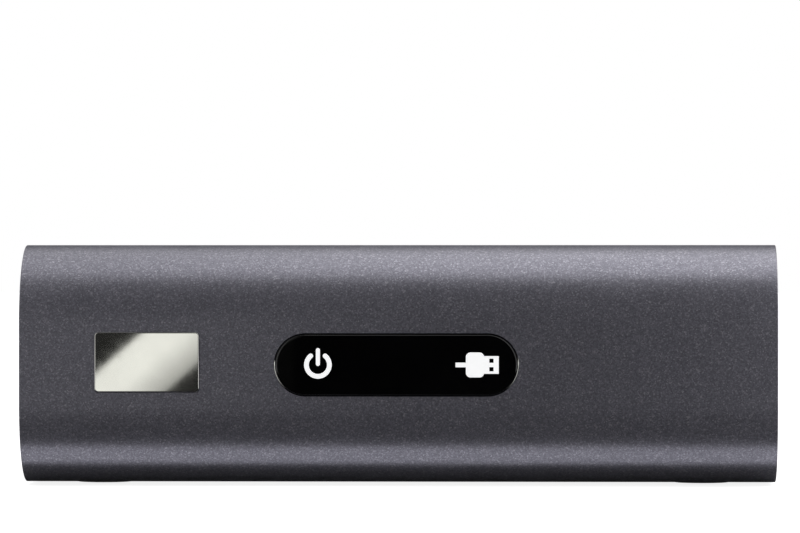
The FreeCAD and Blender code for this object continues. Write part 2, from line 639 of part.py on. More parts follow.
def make_power_icon():
    """An open ring with a bar standing in its gap."""
    span = (WINDOW_FACE, ICON_BACK)
    centre = ("-icon_x", MIDDLE)
    sector = rod("ring_sector", "y", "ring_radius", span, centre)
    sector.setExpression("Angle", bound("360 - ring_opening"))
    half_open = value("ring_opening / 2")
    sector.Placement.Rotation = TURN_TO["y"] * FreeCAD.Rotation(FreeCAD.Vector(0, 0, 1), half_open - 90)
    hollow = rod("ring_hollow", "y", "ring_radius - ring_stroke", span, centre)
    middle = "(ring_radius - ring_stroke / 2)"
    ends = [rod("ring_end", "y", "ring_stroke / 2", span,
                (f"-icon_x + ({side}) * {middle} * sin(ring_opening * 1 deg / 2)",
                 f"{MIDDLE} + {middle} * cos(ring_opening * 1 deg / 2)"))
            for side in LEFT_AND_RIGHT]
    top, bottom = f"{MIDDLE} + bar_top - bar_width / 2", f"{MIDDLE} - bar_bottom + bar_width / 2"
    bar = box("bar", about("-icon_x", "bar_width"), span, (bottom, top))
    bar_ends = [rod("bar_end", "y", "bar_width / 2", span, ("-icon_x", z)) for z in (top, bottom)]
    ring = cut("ring", sector, [hollow])
    return node("power_icon", join("power_icon", [ring, bar] + ends + bar_ends))


def make_plug_icon():
    """A plain cable plug: its lead, its grip, and its shell with two square holes."""
    span = (WINDOW_FACE, ICON_BACK)
    left, right = about("icon_x", "plug_length")
    grip = (f"{left} + plug_lead_length", f"{left} + plug_lead_length + plug_grip_length")
    body = new_body("plug_grip")
    sketch = sketch_on(body, "XZ", "depth / 2 + window_proud - icon_depth")
    rectangle(sketch, grip, about(MIDDLE, "plug_height"), "plug_lead_width")
    pad(body, sketch, "icon_depth")
    lead = box("plug_lead", (left, grip[0]), span, about(MIDDLE, "plug_lead_width"))
    shell = box("plug_shell", (grip[1], right), span, about(MIDDLE, "plug_shell_height"))
    middle = f"({grip[1]} + {right}) / 2"
    holes = [box("plug_hole", about(middle, "plug_hole"), span,
                 about(f"{MIDDLE} + ({side}) * plug_hole_z", "plug_hole"))
             for side in LEFT_AND_RIGHT]
    return node("plug_icon", cut("plug_icon", join("plug_shape", [body, lead, shell]), holes))


def make_window(icons):
    body = new_body("window_blank")
    flange = sketch_on(body, "XZ", "depth / 2 - wall - flange_thickness")
    stadium(flange, "window_width + 2 * flange_margin", "window_height + 2 * flange_margin", MIDDLE)
    pad(body, flange, "flange_thickness")
    face = sketch_on(body, "XZ", "depth / 2 - wall")
    stadium(face, "window_width - 2 * window_gap", "window_height - 2 * window_gap", MIDDLE)
    plug = pad(body, face, "wall + window_proud")
    front = value(WINDOW_FACE)
    round_edges(body, plug, lambda edge: edge.BoundBox.YMax < front + 1e-6, "window_rounding")
    node("window_lens", cut("window_lens", body, icons))


def make_badge():
    body = new_body("badge_plate")
    sketch = sketch_on(body, "XZ", "depth / 2 - badge_recess")
    rectangle(sketch, about("-badge_x", "badge_width - 2 * badge_gap"),
              about(f"{MIDDLE} + badge_rise", "badge_height - 2 * badge_gap"), "badge_corner")
    pad(body, sketch, "badge_thickness")
    node("badge_plate", body)


# ---- Light box, front board and ribbon ----

def make_light_box():
    span = (LIGHT_BOX_FRONT, LIGHT_BOX_BACK)
    block = box("light_block", about("0", "light_box_width"), span, about(MIDDLE, "light_box_height"))
    cells = [box("light_cell", about(f"({i}) * icon_x", "light_cell_width"), span,
                 about(MIDDLE, "light_cell_height"))
             for i in (-1, 0, 1)]
    holes = [screw_hole("y", span, at) for at in front_screw_places()]
    node("light_box", cut("light_box", block, cells + holes))


def make_front_board():
    span = (LIGHT_BOX_BACK, FRONT_BOARD_BACK)
    plate = box("front_plate", about("0", "light_box_width"), span, about(MIDDLE, "light_box_height"))
    holes = [screw_hole("y", span, at) for at in front_screw_places()]
    node("front_board", cut("front_board", plate, holes))
    leds = [box("led", about(f"({side}) * icon_x", "led_width"), reach(LIGHT_BOX_BACK, -1, "led_depth"),
                about(MIDDLE, "led_height"))
            for side in LEFT_AND_RIGHT]
    node("indicator_lights", join("indicator_lights", leds))
    base = box("receiver_base", about("0", "receiver_width"), reach(LIGHT_BOX_BACK, -1, "receiver_depth"),
               about(MIDDLE, "receiver_height"))
    dome = rod("receiver_dome", "y", "receiver_dome", reach(LIGHT_BOX_BACK, -1, "receiver_reach"),
               ("0", MIDDLE))
    node("infrared_receiver", join("infrared_receiver", [base, dome]))
    spacers = []
    for at in front_screw_places():
        stretch = (FRONT_BOARD_BACK, "chassis_front")
        tube = rod("spacer_tube", "y", "spacer_radius", stretch, at)
        spacers.append(cut("spacer", tube, [screw_hole("y", stretch, at)]))
    node("front_spacers", join("front_spacers", spacers))


RIBBON_Y = f"({FRONT_BOARD_BACK} + ribbon_socket_depth / 2)"
RIBBON_Z = f"({BOARD_TOP} + ribbon_socket_depth / 2)"
FRONT_SOCKET_LOW = f"({MIDDLE} - light_box_height / 2 + ribbon_socket_rise)"


def make_ribbons():
    """The front ribbon drops behind the nose, bends once and runs back over the main board."""
    body = new_body("front_ribbon")
    sketch = sketch_on(body, "YZ", "-ribbon_width / 2")
    near, far = f"{RIBBON_Y} - ribbon_thickness / 2", f"{RIBBON_Y} + ribbon_thickness / 2"
    low, high = f"{RIBBON_Z} - ribbon_thickness / 2", f"{RIBBON_Z} + ribbon_thickness / 2"
    end = "board_front + ribbon_socket_height"
    outline(sketch, [
        (near, FRONT_SOCKET_LOW), (near, low, "ribbon_bend"), (end, low), (end, high),
        (far, high, "ribbon_bend - ribbon_thickness"), (far, FRONT_SOCKET_LOW)])
    pad(body, sketch, "ribbon_width")
    node("front_ribbon", body)
    cable = box("dock_cable", about("dock_cable_x", "cable_thickness"),
                about("dock_cable_y", "dock_cable_width"),
                (f"{BOARD_TOP} + cable_socket_height", "cable_top"))
    node("dock_cable", cable)
    wide = about("0", "ribbon_socket_width")
    sockets = [
        box("front_socket", wide, reach(FRONT_BOARD_BACK, 1, "ribbon_socket_depth"),
            reach(FRONT_SOCKET_LOW, 1, "ribbon_socket_height")),
        box("board_socket", wide, reach(end, 1, "ribbon_socket_height"),
            reach(BOARD_TOP, 1, "ribbon_socket_depth")),
        box("dock_upper_socket", ("-dock_board_out - cable_socket_depth", "-dock_board_out"),
            about("dock_cable_y", "cable_socket_width"), reach("cable_top", 1, "cable_socket_height")),
        box("dock_lower_socket", about("dock_cable_x", "cable_socket_depth"),
            about("dock_cable_y", "cable_socket_width"), reach(BOARD_TOP, 1, "cable_socket_height")),
    ]
    node("ribbon_sockets", join("ribbon_sockets", sockets))


# ---- Chassis and main board ----

def make_chassis():
    floor = (INNER_FLOOR, CHASSIS_TOP)
    parts = [box("chassis_plate", (f"-{CAP_IN}", CAP_IN), ("chassis_front", "chassis_rear"), floor)]
    tools = []
    for side in LEFT_AND_RIGHT:
        wall_in = f"({side}) * ({CAP_IN} - sheet_metal)"
        parts.append(box("end_wall", reach(wall_in, side, "sheet_metal"), ("lip_front", "lip_rear"),
                         (INNER_FLOOR, "cage_bottom")))
        parts.append(box("cage_lip", reach(wall_in, -side, "lip_width"), ("lip_front", "lip_rear"),
                         ("cage_bottom - sheet_metal", "cage_bottom")))
        tools += [sunk_hole("x", f"({side}) * {CAP_OUT}", -side, at) for at in cap_screw_places()]
    for x in ("panel_tab_left", "panel_tab_right"):
        parts.append(box("panel_tab", about(x, "panel_tab_width"), ("chassis_rear", PANEL_IN),
                         (INNER_FLOOR, "panel_tab_top")))
        tools.append(screw_hole("y", ("chassis_rear", PANEL_IN), (x, "panel_screw_z")))
    for x, z in front_screw_places():
        stretch = ("chassis_front", "chassis_front + sheet_metal")
        parts.append(box("front_tab", about(x, "front_tab_width"), stretch,
                         (INNER_FLOOR, "front_tab_top")))
        tools.append(screw_hole("y", stretch, (x, z)))
    for at in foot_places():
        parts.append(rod("board_standoff", "z", "standoff_radius", (CHASSIS_TOP, BOARD_BOTTOM), at))
        tools.append(screw_hole("z", (INNER_FLOOR, BOARD_BOTTOM), at))
    lip = ("cage_bottom - sheet_metal", "cage_bottom")
    tools += [screw_hole("z", lip, at) for at in cage_screw_places()]
    wall_span = (f"-{CAP_IN}", f"-{CAP_IN} + sheet_metal")
    tools.append(box("side_port", wall_span, about("side_socket_y", "data_width + 4 * cut_out_gap"),
                     (f"{BOARD_TOP} - cut_out_gap", f"{BOARD_TOP} + data_height + cut_out_gap")))
    tools.append(rod("reset_port", "x", "reset_radius + reset_gap", wall_span, ("reset_y", "reset_z")))
    right_wall = (f"{CAP_IN} - sheet_metal", CAP_IN)
    tools += vent_row(right_wall, "lower_vent_z", "cap_vent_pitch", "cap_vent_count", True)
    tools.append(cable_slot("lip_slot", *lip))
    tools.append(box("base_vent_window", about("0", "base_vent_span + 2 * vent_width"),
                     about("vent_width", "base_vent_length"), floor))
    node("chassis", cut("chassis", join("chassis_shape", parts), tools))


def cable_slot(name, low, high):
    """Where the dock's flat cable goes down through a plate."""
    return box(name, about("dock_cable_x", "2 * cable_socket_depth"),
               about("dock_cable_y", "cable_socket_width"), (low, high))


def make_main_board():
    stretch = (BOARD_BOTTOM, BOARD_TOP)
    plate = box("board_plate", ("-board_side", "board_side"), ("board_front", "board_rear"), stretch)
    node("main_board", cut("main_board", plate, [screw_hole("z", stretch, at) for at in foot_places()]))
    chip_top = f"{BOARD_TOP} + chip_height"
    node("processor", box("processor", about("chip_x", "chip_side"), about("chip_y", "chip_side"),
                          reach(BOARD_TOP, 1, "chip_height")))
    node("thermal_pad", box("thermal_pad", about("chip_x", "pad_side"), about("chip_y", "pad_side"),
                            reach(chip_top, 1, "pad_thickness")))
    sink_z = f"{chip_top} + pad_thickness"
    sink_parts = [box("sink_plate", about("chip_x", "sink_side"), about("chip_y", "sink_side"),
                      reach(sink_z, 1, "sink_base"))]
    for i in range(count_of("fin_count")):
        low = f"chip_x - sink_side / 2 + {i} * (fin_thickness + fin_gap)"
        sink_parts.append(box("fin", reach(low, 1, "fin_thickness"), about("chip_y", "sink_side"),
                              (f"{sink_z} + sink_base", f"{sink_z} + sink_height")))
    node("heat_sink", join("heat_sink", sink_parts))
    chips = [box("memory", about(f"memory_x + ({column}) * memory_column_pitch / 2", "memory_width"),
                 about(f"memory_y + ({row}) * memory_row_pitch / 2", "memory_length"),
                 reach(BOARD_TOP, 1, "memory_height"))
             for column in (-1, 1) for row in (-1, 1)]
    node("memory_chips", join("memory_chips", chips))
    cans = [rod("can", "z", "can_radius", reach(BOARD_TOP, 1, "can_height"),
                ("can_x", f"can_y + ({i}) * can_pitch")) for i in range(count_of("can_count"))]
    node("capacitors", join("capacitors", cans))
    coils = [box("coil", about(f"coil_x - ({i}) * coil_pitch", "coil_side"),
                 about("coil_y", "coil_side"), reach(BOARD_TOP, 1, "coil_height"))
             for i in range(count_of("coil_count"))]
    node("inductors", join("inductors", coils))


# ---- Sockets, reset button and optical shutter ----

def av_places():
    return [f"av_x + ({i}) * av_pitch" for i in (-1, 0, 1)]


def make_av_sockets():
    """Three shells on one housing: a solid block inside the case, and a wall on each side of a shell."""
    front, rear = f"{PANEL_IN} - av_block_depth", PANEL_IN
    well_floor = f"{PANEL_IN} - av_well_depth"
    across = about("av_x", "3 * av_pitch + av_wall")
    tall = reach(BOARD_TOP, 1, "av_block_height")
    ledge = box("av_ledge", across, (well_floor, rear), (BOARD_TOP, f"{AV_AXIS_Z} - av_well_radius"))
    walls = [box("av_wall", about(f"av_x + ({half_pitches}) * av_pitch / 2", "av_wall"),
                 (well_floor, rear), tall)
             for half_pitches in (-3, -1, 1, 3)]
    block = box("av_block", across, (front, well_floor), tall)
    node("av_socket_block", join("av_socket_block", [block, ledge, *walls]))
    shells = []
    stretch = (well_floor, "socket_rear")
    end = "socket_rear - av_insert_short"
    inner_radius = "av_shell_radius - av_shell_wall"
    for x, colour in zip(av_places(), ("red", "white", "yellow")):
        at = (x, AV_AXIS_Z)
        tube = rod("av_tube", "y", "av_shell_radius", stretch, at)
        hollow = rod("av_tube_hollow", "y", inner_radius, stretch, at)
        shells.append(cut("av_shell", tube, [hollow]))
        core = rod("av_core", "y", f"{inner_radius} - av_insert_gap", (well_floor, end), at)
        bore = rod("av_bore", "y", "av_bore_radius", (f"{end} - av_bore_depth", end), at)
        node(f"av_insert_{colour}", cut(f"av_insert_{colour}", core, [bore]))
    node("av_shells", join("av_shells", shells))


def tongue_height(kind):
    """Middle height of a socket's contact tongue over the board."""
    if kind == "video":
        return f"{BOARD_TOP} + video_height / 2"
    return f"{BOARD_TOP} + data_height / 2 + data_tongue_drop"


def make_rear_socket(label, kind, x, wall_size):
    """A metal shell open at the rear, with a plastic tongue standing on its back wall."""
    back = f"socket_rear - {kind}_depth"
    low, high = BOARD_TOP, f"{BOARD_TOP} + {kind}_height"
    shell = box("socket_shell", about(x, f"{kind}_width"), (back, "socket_rear"), (low, high))
    hollow = box("hollow", about(x, f"{kind}_width - 2 * {wall_size}"),
                 (f"{back} + {wall_size}", "socket_rear"),
                 (f"{low} + {wall_size}", f"{high} - {wall_size}"))
    node(label, cut(label, shell, [hollow]))
    tongue = box("tongue", about(x, f"{kind}_tongue_width"),
                 reach(f"{back} + {wall_size}", 1, f"{kind}_tongue_length + 2 * {wall_size}"),
                 about(tongue_height(kind), f"{kind}_tongue_height"))
    node(label + "_tongue", tongue)


def make_side_socket():
    """The same shell as the rear data socket, turned to open at the left."""
    back = "-side_socket_out + data_depth"
    low, high = BOARD_TOP, f"{BOARD_TOP} + data_height"
    shell = box("side_shell", ("-side_socket_out", back), about("side_socket_y", "data_width"), (low, high))
    hollow = box("side_hollow", ("-side_socket_out", f"{back} - data_wall"),
                 about("side_socket_y", "data_width - 2 * data_wall"),
                 (f"{low} + data_wall", f"{high} - data_wall"))
    node("side_data_socket", cut("side_data_socket", shell, [hollow]))
    tongue = box("side_tongue", reach(f"{back} - data_wall", -1, "data_tongue_length + 2 * data_wall"),
                 about("side_socket_y", "data_tongue_width"),
                 about(tongue_height("data"), "data_tongue_height"))
    node("side_data_socket_tongue", tongue)


def make_power_jack():
    axis_z = f"{BOARD_TOP} + jack_height / 2"
    block = box("jack_block", about("jack_x", "jack_width"), reach(PANEL_IN, -1, "jack_depth"),
                reach(BOARD_TOP, 1, "jack_height"))
    snout = rod("jack_snout", "y", "jack_snout_radius", (PANEL_IN, "socket_rear"), ("jack_x", axis_z))
    bore = rod("jack_bore", "y", "jack_bore_radius", ("socket_rear - jack_bore_depth", "socket_rear"),
               ("jack_x", axis_z))
    node("power_jack", cut("power_jack", join("jack_shape", [block, snout]), [bore]))
    node("power_jack_pin", rod("power_jack_pin", "y", "jack_pin_radius",
                               reach("socket_rear - jack_bore_depth", 1, "jack_pin_length"),
                               ("jack_x", axis_z)))


def make_optical_socket():
    hollow_low = f"{BOARD_TOP} + optical_sill"
    block = box("optical_block", about("optical_x", "optical_width"),
                reach("socket_rear", -1, "optical_depth"), reach(BOARD_TOP, 1, "optical_height"))
    hollow = box("optical_hollow", about("optical_x", "optical_hollow"),
                 reach("socket_rear", -1, "optical_hollow_depth"), reach(hollow_low, 1, "optical_hollow"))
    axle_way = rod("axle_way", "x", "flap_pin_radius + flap_pin_gap",
                   about("optical_x", "2 * (flap_pin_end + flap_pin_gap)"), (FLAP_AXIS_Y, FLAP_AXIS_Z))
    node("optical_socket", cut("optical_socket", block, [hollow, axle_way]))
    flap = box("flap", about("optical_x", "flap_side"), about(FLAP_AXIS_Y, "flap_thickness"),
               reach(FLAP_AXIS_Z, -1, "flap_reach"))
    barrel = rod("flap_barrel", "x", "flap_thickness", about("optical_x", "flap_side"),
                 (FLAP_AXIS_Y, FLAP_AXIS_Z))
    axle = rod("flap_axle", "x", "flap_pin_radius", about("optical_x", "2 * flap_pin_end"),
               (FLAP_AXIS_Y, FLAP_AXIS_Z))
    node("optical_shutter", join("optical_shutter", [flap, barrel, axle]))


def make_reset():
    at = ("reset_y", "reset_z")
    stem = rod("reset_stem", "x", "reset_radius", ("-reset_out", "-reset_collar_out"), at)
    collar = rod("reset_collar", "x", "reset_collar_radius", ("-reset_collar_out", "-reset_collar_in"), at)
    tip = rod("reset_tip", "x", "reset_tip_radius", ("-reset_collar_in", "-reset_tip"), at)
    node("reset_button", join("reset_button", [stem, collar, tip]))
    block = box("switch_block", reach("-reset_switch_out", 1, "reset_switch_depth"),
                about("reset_y", "reset_switch_width"), reach(BOARD_TOP, 1, "reset_switch_height"))
    bore = rod("switch_bore", "x", "reset_tip_radius + reset_bore_gap",
               reach("-reset_switch_out", 1, "reset_bore_depth"), at)
    node("reset_switch", cut("reset_switch", block, [bore]))


# ---- Drive cage, rails and dock ----

def make_cage():
    floor = ("cage_bottom", CAGE_TOP)
    parts = [box("cage_floor", ("cage_left", "cage_right"), beside_both("cage_half"), floor)]
    for side in FRONT_AND_REAR:
        parts.append(box("cage_wall", ("cage_wall_left", "cage_right"),
                         beside(side, "cage_half - cage_sheet", "cage_half"),
                         ("cage_bottom", "cage_wall_top")))
        parts.append(box("tray_stop", reach("stop_x", 1, "stop_thickness"),
                         beside(side, "stop_in", "cage_half - cage_sheet"), (CAGE_TOP, "stop_top")))
        parts.append(box("dock_tab", ("-dock_board_in", "-dock_board_in + cage_sheet"),
                         beside(side, "dock_board_half - dock_tab_width", "dock_board_half"),
                         (CAGE_TOP, "dock_tab_top")))
    tools = [screw_hole("z", floor, at) for at in cage_screw_places()]
    tools += [screw_hole("x", ("-dock_board_in", "-dock_board_in + cage_sheet"), at)
              for at in dock_screw_places()]
    tools.append(cable_slot("cage_slot", *floor))
    for side in LEFT_AND_RIGHT:
        middle = f"({side}) * cage_window_x"
        tools.append(box("cage_window", about(middle, "cage_window_length"),
                         beside_both("cage_window_half"), floor))
    node("drive_cage", cut("drive_cage", join("cage_shape", parts), tools))
    for side, label in zip(FRONT_AND_REAR, ("guide_rail_front", "guide_rail_rear")):
        length = ("cage_wall_left", "cage_right")
        rail = box("rail", length, beside(side, "rail_in", "cage_half - cage_sheet"),
                   ("rail_bottom", "rail_top"))
        groove = box("groove", length, beside(side, "rail_in", "groove_in"),
                     ("groove_bottom", "groove_top"))
        node(label, cut(label, rail, [groove]))


def beside_both(half):
    return (f"drive_y - {half}", f"drive_y + {half}")


def blade_places():
    return (("power_blade_y", "power_blade_width"), ("data_blade_y", "data_blade_width"))


BLADE_Z = "((dock_socket_low + dock_socket_high) / 2)"


def make_dock():
    thickness = ("-dock_board_out", "-dock_board_in")
    plate = box("dock_plate", thickness, beside_both("dock_board_half"),
                ("dock_board_low", "dock_board_high"))
    holes = [screw_hole("x", thickness, at) for at in dock_screw_places()]
    node("dock_board", cut("dock_board", plate, holes))
    block = box("dock_block", ("-dock_board_in", "dock_socket_end"),
                beside_both("dock_socket_half"), ("dock_socket_low", "dock_socket_high"))
    slots = [box("dock_slot", reach("dock_socket_end", -1, "dock_slot_depth"),
                 about(f"drive_y + {y}", f"{width} + 2 * slot_gap"), about(BLADE_Z, "dock_slot_height"))
             for y, width in blade_places()]
    node("dock_socket", cut("dock_socket", block, slots))


# ---- Tray, bezel, handle and lock ----

def make_tray():
    parts = [box("tray_plate", ("tray_left", "bezel_back"), beside_both("tray_wall_out"),
                 ("tray_bottom", TRAY_TOP))]
    for side in FRONT_AND_REAR:
        parts.append(box("tray_wall", ("tray_arm_left", "bezel_back"),
                         beside(side, "tray_wall_in", "tray_wall_out"), ("tray_bottom", "tray_wall_top")))
        parts.append(box("runner", ("tray_left", "runner_right"),
                         beside(side, "tray_wall_out", "runner_out"), ("runner_bottom", "runner_top")))
        parts.append(box("lug", reach("tray_arm_left", 1, "lug_length"),
                         beside(side, "tray_wall_out", "lug_out"), ("tray_bottom", "lug_top")))
    tools = [drive_screw(at, "screw_gap") for at in drive_screw_places()]
    for side in LEFT_AND_RIGHT:
        middle = f"(drive_left + drive_length / 2 + ({side}) * tray_window_x)"
        tools.append(box("tray_window", about(middle, "tray_window_length"),
                         beside_both("tray_window_half"), ("tray_bottom", TRAY_TOP)))
    node("drive_tray", cut("drive_tray", join("tray_shape", parts), tools))


def make_bezel():
    recess = box("handle_recess", ("recess_floor", CAP_OUT), ("recess_left", "recess_right"),
                 ("recess_bottom", "recess_top"))
    channel_y = ("lock_channel_left", "lock_channel_right")
    channel = box("lock_channel", ("lock_channel_back", "lock_shoulder"), channel_y,
                  about("lock_z", "2 * lock_channel_half"))
    slot = box("lock_slot", ("lock_shoulder", CAP_OUT), channel_y, about("lock_z", "2 * lock_slot_half"))
    way_out = bolt_way("bolt_way", ("lock_channel_back", "lock_shoulder"),
                       ("drive_y - bezel_half", "lock_channel_left"), "lock_gap")
    seat = rod("pin_seat", "z", "handle_pin_radius + handle_pin_seat_gap",
               ("handle_pin_bottom", "handle_pin_top"), (HANDLE_PIN_X, "handle_pin_y"))
    node("tray_bezel", cut("tray_bezel", bezel_prism("bezel_plate", "bezel_back", CAP_OUT, "0"),
                           [recess, channel, slot, way_out, seat]))
    node("handle_pin", rod("handle_pin", "z", "handle_pin_radius", ("handle_pin_bottom", "handle_pin_top"),
                           (HANDLE_PIN_X, "handle_pin_y")))


def make_handle():
    """A flap on an upright pin; its free end is thinned so that a fingertip gets behind it."""
    tall = ("recess_bottom + handle_gap", "recess_top - handle_gap")
    blank = new_body("handle_blank")
    sketch = sketch_on(blank, "YZ", "handle_back")
    outline(sketch, [("handle_end", tall[0], "handle_rounding"), ("handle_pin_y", tall[0]),
                     ("handle_pin_y", tall[1]), ("handle_end", tall[1], "handle_rounding")])
    pad(blank, sketch, "handle_face - handle_back")
    barrel = rod("handle_barrel", "z", "handle_barrel", tall, (HANDLE_PIN_X, "handle_pin_y"))
    bore = rod("handle_bore", "z", "handle_pin_radius + handle_pin_gap", tall, (HANDLE_PIN_X, "handle_pin_y"))
    relief = box("handle_relief", reach("handle_back", 1, "handle_relief"),
                 reach("handle_end", 1, "handle_relief_length"), tall)
    node("tray_handle", cut("tray_handle", join("handle_shape", [blank, barrel]), [bore, relief]))


def make_lock():
    """A T-shaped slider: a flange behind the bezel's lips, a knob through the slot, and the bolt."""
    along = ("lock_right - lock_length", "lock_right")
    deep = ("lock_channel_back + lock_gap", "lock_shoulder - lock_gap")
    flange = box("lock_flange", deep, along, about("lock_z", "2 * (lock_channel_half - lock_gap)"))
    knob = box("lock_knob", (deep[1], CAP_OUT), along, about("lock_z", "2 * (lock_slot_half - lock_gap)"))
    bolt = bolt_way("lock_bolt", deep, ("lock_bolt_end", along[0]), "0")
    groove = box("knob_groove", (f"{CAP_OUT} - 2 * lock_gap", CAP_OUT),
                 about("lock_right - lock_length / 2", "lock_bolt_half"),
                 about("lock_z", "2 * (lock_slot_half - lock_gap)"))
    node("tray_lock", cut("tray_lock", join("lock_shape", [flange, knob, bolt]), [groove]))


# ---- Hard drive ----

def make_drive():
    right = "drive_left + drive_length"
    body = new_body("casting_block")
    sketch = sketch_on(body, "XY", TRAY_TOP)
    rectangle(sketch, ("drive_left", right), beside_both("drive_width / 2"), "drive_corner")
    pad(body, sketch, "drive_height - drive_cover_thickness")
    notch = box("plug_notch", reach("drive_left", 1, "drive_notch_depth"),
                beside_both("(dock_socket_half + slot_gap)"),
                reach(TRAY_TOP, 1, "drive_notch_height"))
    circuit_y = beside_both("(drive_width / 2 - drive_rail)")
    circuit_x = ("drive_left + drive_notch_depth", f"{right} - drive_rail")
    circuit_seat = box("circuit_seat", circuit_x, circuit_y, reach(TRAY_TOP, 1, "drive_circuit_thickness"))
    holes = [drive_screw(at, "screw_gap") for at in drive_screw_places()]
    node("drive_casting", cut("drive_casting", body, [notch, circuit_seat] + holes))
    node("drive_circuit", box("drive_circuit", circuit_x, circuit_y,
                              reach(TRAY_TOP, 1, "drive_circuit_thickness")))
    cover = new_body("drive_cover")
    lid = sketch_on(cover, "XY", f"{DRIVE_TOP} - drive_cover_thickness")
    rectangle(lid, ("drive_left + drive_cover_inset", f"{right} - drive_cover_inset"),
              beside_both("(drive_width / 2 - drive_cover_inset)"), "drive_corner")
    pad(cover, lid, "drive_cover_thickness")
    node("drive_cover", cover)
    back = "drive_left + drive_notch_depth"
    plate = box("plug_plate", reach(back, -1, "drive_plug_back"),
                beside_both("dock_socket_half"), about(BLADE_Z, "2 * dock_slot_height"))
    blades = [box("blade", reach(f"{back} - drive_plug_back", -1, "blade_length - drive_plug_back"),
                  about(f"drive_y + {y}", width), about(BLADE_Z, "blade_height"))
              for y, width in blade_places()]
    node("drive_plug", join("drive_plug", [plate] + blades))


def check_and_write():
    doc.recompute()
    for item in doc.Objects:
        if "Invalid" in item.State or "Error" in item.State:
            raise RuntimeError(f"{item.Label} failed: {item.State}")
    os.makedirs("parts", exist_ok=True)
    for part in nodes:
        if part.Shape.isNull() or not part.Shape.isValid() or part.Shape.Volume <= 0:
            raise RuntimeError(f"{part.Label} has no sound shape")
        part.Shape.exportStep(f"parts/{part.Label}.step")
    print(f"{len(nodes)} sub-parts written")


fill_sheet()
make_sleeve()
make_feet()
make_left_cap()
make_right_cap()
make_rear_panel()
make_window([make_power_icon(), make_plug_icon()])
make_badge()
make_light_box()
make_front_board()
make_ribbons()
make_chassis()
make_main_board()
make_av_sockets()
make_rear_socket("video_socket", "video", "video_x", "shell_wall")
make_rear_socket("rear_data_socket", "data", "data_x", "data_wall")
make_side_socket()
make_power_jack()
make_optical_socket()
make_reset()
make_cage()
make_dock()
make_tray()
make_bezel()
make_handle()
make_lock()
make_drive()
make_screws()
check_and_write()
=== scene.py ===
import json
import math

import bmesh
import bpy
from mathutils import Matrix, Vector

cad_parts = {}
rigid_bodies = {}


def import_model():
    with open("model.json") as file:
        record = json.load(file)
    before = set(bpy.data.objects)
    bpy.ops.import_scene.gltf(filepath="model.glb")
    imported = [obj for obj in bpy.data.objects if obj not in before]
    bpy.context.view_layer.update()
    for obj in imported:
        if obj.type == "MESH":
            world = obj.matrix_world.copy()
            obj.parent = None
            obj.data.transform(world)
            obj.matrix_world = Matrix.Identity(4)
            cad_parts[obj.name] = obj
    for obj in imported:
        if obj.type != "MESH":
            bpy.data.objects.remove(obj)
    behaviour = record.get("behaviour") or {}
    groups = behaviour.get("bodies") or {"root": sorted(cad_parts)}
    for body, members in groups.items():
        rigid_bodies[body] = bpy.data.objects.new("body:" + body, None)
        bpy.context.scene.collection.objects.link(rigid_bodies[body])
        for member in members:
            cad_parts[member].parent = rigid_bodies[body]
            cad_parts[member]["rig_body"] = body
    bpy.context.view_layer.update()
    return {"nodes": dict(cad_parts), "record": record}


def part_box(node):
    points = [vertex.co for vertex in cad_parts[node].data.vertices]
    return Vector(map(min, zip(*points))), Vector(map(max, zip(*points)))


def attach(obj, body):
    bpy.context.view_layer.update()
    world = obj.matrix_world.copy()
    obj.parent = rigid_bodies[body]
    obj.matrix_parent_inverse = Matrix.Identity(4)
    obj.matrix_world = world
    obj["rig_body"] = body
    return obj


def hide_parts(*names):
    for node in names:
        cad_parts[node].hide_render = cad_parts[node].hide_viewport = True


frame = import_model()

MM = 0.001
SCENE = bpy.context.scene
SCENE.view_settings.view_transform = "Standard"
CAD = frame["nodes"]


# ---- Camera ----

FOCAL_LENGTH = 225.07
SENSOR = 36
CAMERA_AT = (0.02903, -0.87209, 0.03643)
CAMERA_TURN = 0.0348


def make_camera():
    data = bpy.data.cameras.new("camera")
    data.lens = FOCAL_LENGTH
    data.sensor_width = SENSOR
    data.clip_start = 0.01
    data.clip_end = 50
    camera = bpy.data.objects.new("camera", data)
    camera.location = CAMERA_AT
    camera.rotation_euler = (math.radians(90), 0, CAMERA_TURN)
    SCENE.collection.objects.link(camera)
    SCENE.camera = camera


make_camera()


# ---- Materials ----

